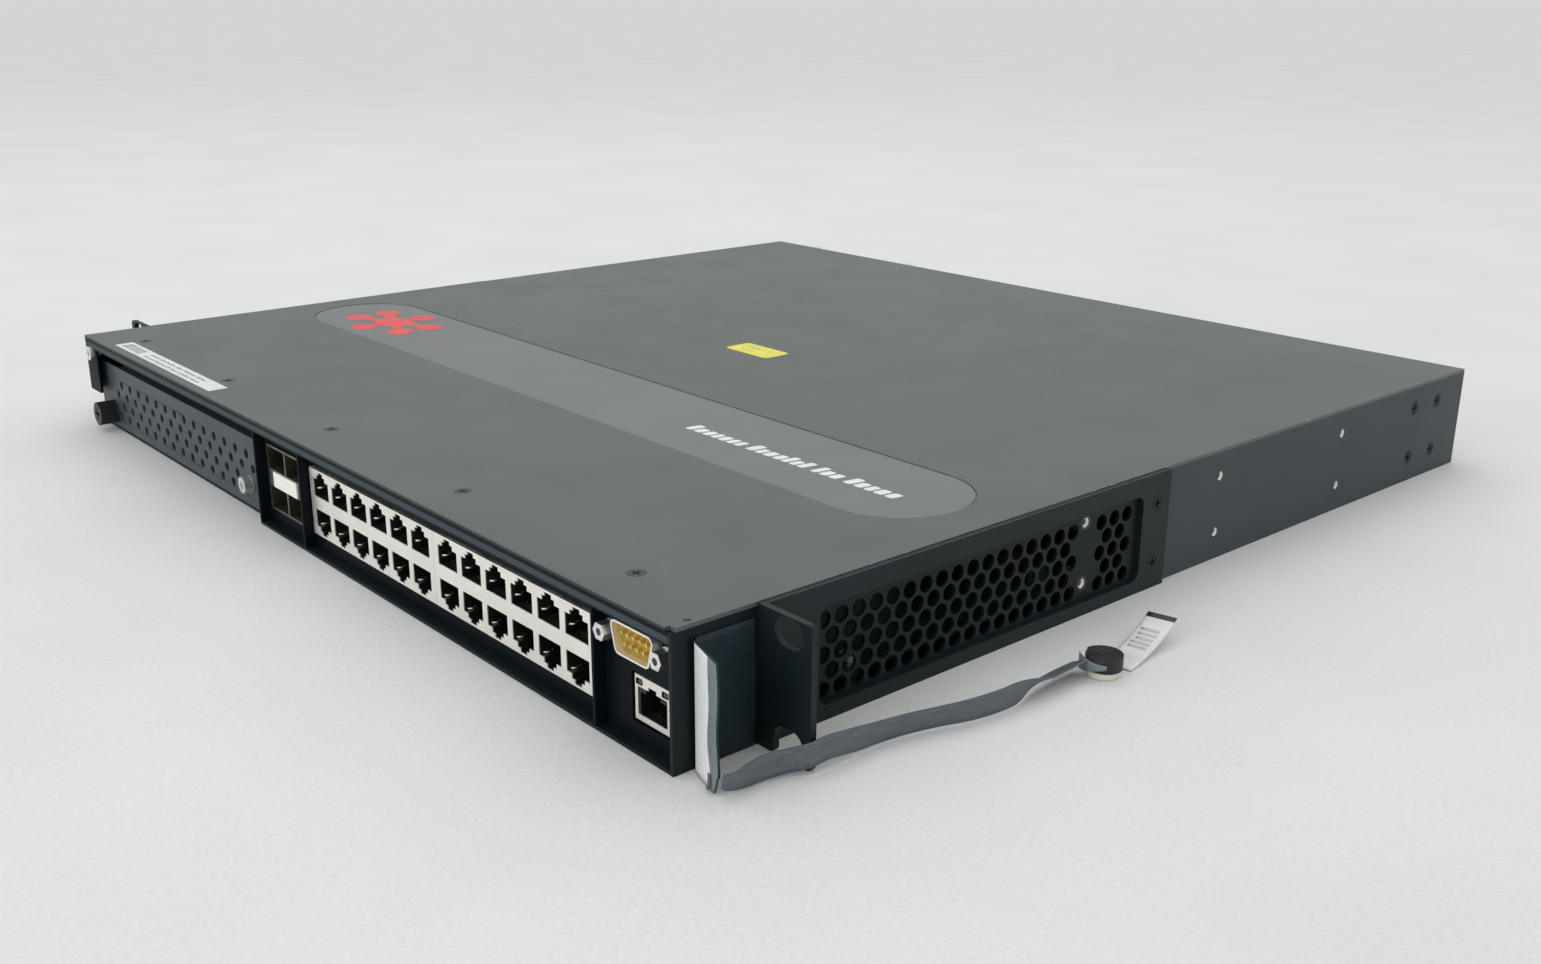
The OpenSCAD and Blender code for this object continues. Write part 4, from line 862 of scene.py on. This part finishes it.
def make_lamp_lenses():
    """Dark smoked lenses over the two lamps of the management jack."""
    low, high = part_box("mgmt_shield")
    mid = (low.x + high.x) / 2
    offset, drop = 5.7 * MM, 1.8 * MM
    width, height, radius = 2.7 * MM, 1.75 * MM, 0.3 * MM
    thickness = 0.3 * MM
    bm = bmesh.new()
    for side in (-1, 1):
        outline = rounded_box(mid + side * offset, high.z - drop, width, height, radius, 3)
        add_prism(bm, outline, lambda u, v, w: (u, low.y - thickness / 2 + w, v), thickness)
    piece_from(bm, "lamp_lenses", SMOKED_LENS)


def add_thread_start(bm, centre, side):
    """Ring in a nut's bore, chamfered towards the outside."""
    rings = []
    for radius, inward in ((1.62, 0), (1.2, 0.5), (1.15, 1.2), (1.62, 1.3)):
        rings.append([
            bm.verts.new(centre + Vector((-side * inward * MM, x, y)))
            for x, y in circle(radius * MM, 24)
        ])
    for ring, following in zip(rings, rings[1:] + rings[:1]):
        join_loops(bm, ring, following)


def make_nut_thread_glints():
    """Thread starts in the bores of the side walls' nuts, in a near-white plastic that paints the glint of
    their steel.
    """
    bm = bmesh.new()
    for side in (-1, 1):
        for depth in NUT_DEPTHS:
            for z in NUT_HEIGHTS:
                centre = Vector((side * (HALF_W - 0.15 * MM), FRONT + depth, z))
                add_thread_start(bm, centre, side)
    # painted glint: the steel thread starts take the light pipes' near-white plastic
    piece_from(bm, "nut_thread_glints", MATERIALS["clear_pipe"])


# ---------------------------------------------------------------- stage

def make_stage():
    """Pale floor, even daylight and two soft lights."""
    mesh = bpy.data.meshes.new("floor")
    reach = 80.0
    corners = [(-reach, -reach, 0), (reach, -reach, 0), (reach, reach, 0), (-reach, reach, 0)]
    mesh.from_pydata(corners, [], [(0, 1, 2, 3)])
    mesh.materials.append(floor_material())
    floor = bpy.data.objects.new("floor", mesh)
    bpy.context.scene.collection.objects.link(floor)
    world = bpy.data.worlds.new("studio")
    world.use_nodes = True
    background = world.node_tree.nodes["Background"]
    background.inputs["Color"].default_value = (0.97, 0.985, 1.0, 1)
    background.inputs["Strength"].default_value = 0.82
    bpy.context.scene.world = world
    for name, place, size, power in (
        ("key", (-0.6, 0.3, 1.6), 1.6, 4.0),
        ("front", (0.1, -2.3, 0.8), 1.2, 10.0),
    ):
        data = bpy.data.lights.new(name, "AREA")
        data.size = size
        data.energy = power
        light = bpy.data.objects.new(name, data)
        light.location = place
        light.rotation_euler = (Vector((0, 0, 0)) - Vector(place)).to_track_quat("-Z", "Y").to_euler()
        bpy.context.scene.collection.objects.link(light)
    bpy.context.scene.view_settings.view_transform = "Standard"


# ---------------------------------------------------------------- scene

make_camera()
ribbon, ribbon_path, ribbon_length = make_ribbon()
roll_pieces = make_roll()
end_label = make_end_label()
dress_cad_nodes()
make_tag()
make_badge_prints()
make_label_prints()
make_shield_fingers()
make_lamp_lenses()
make_nut_thread_glints()
make_stage()
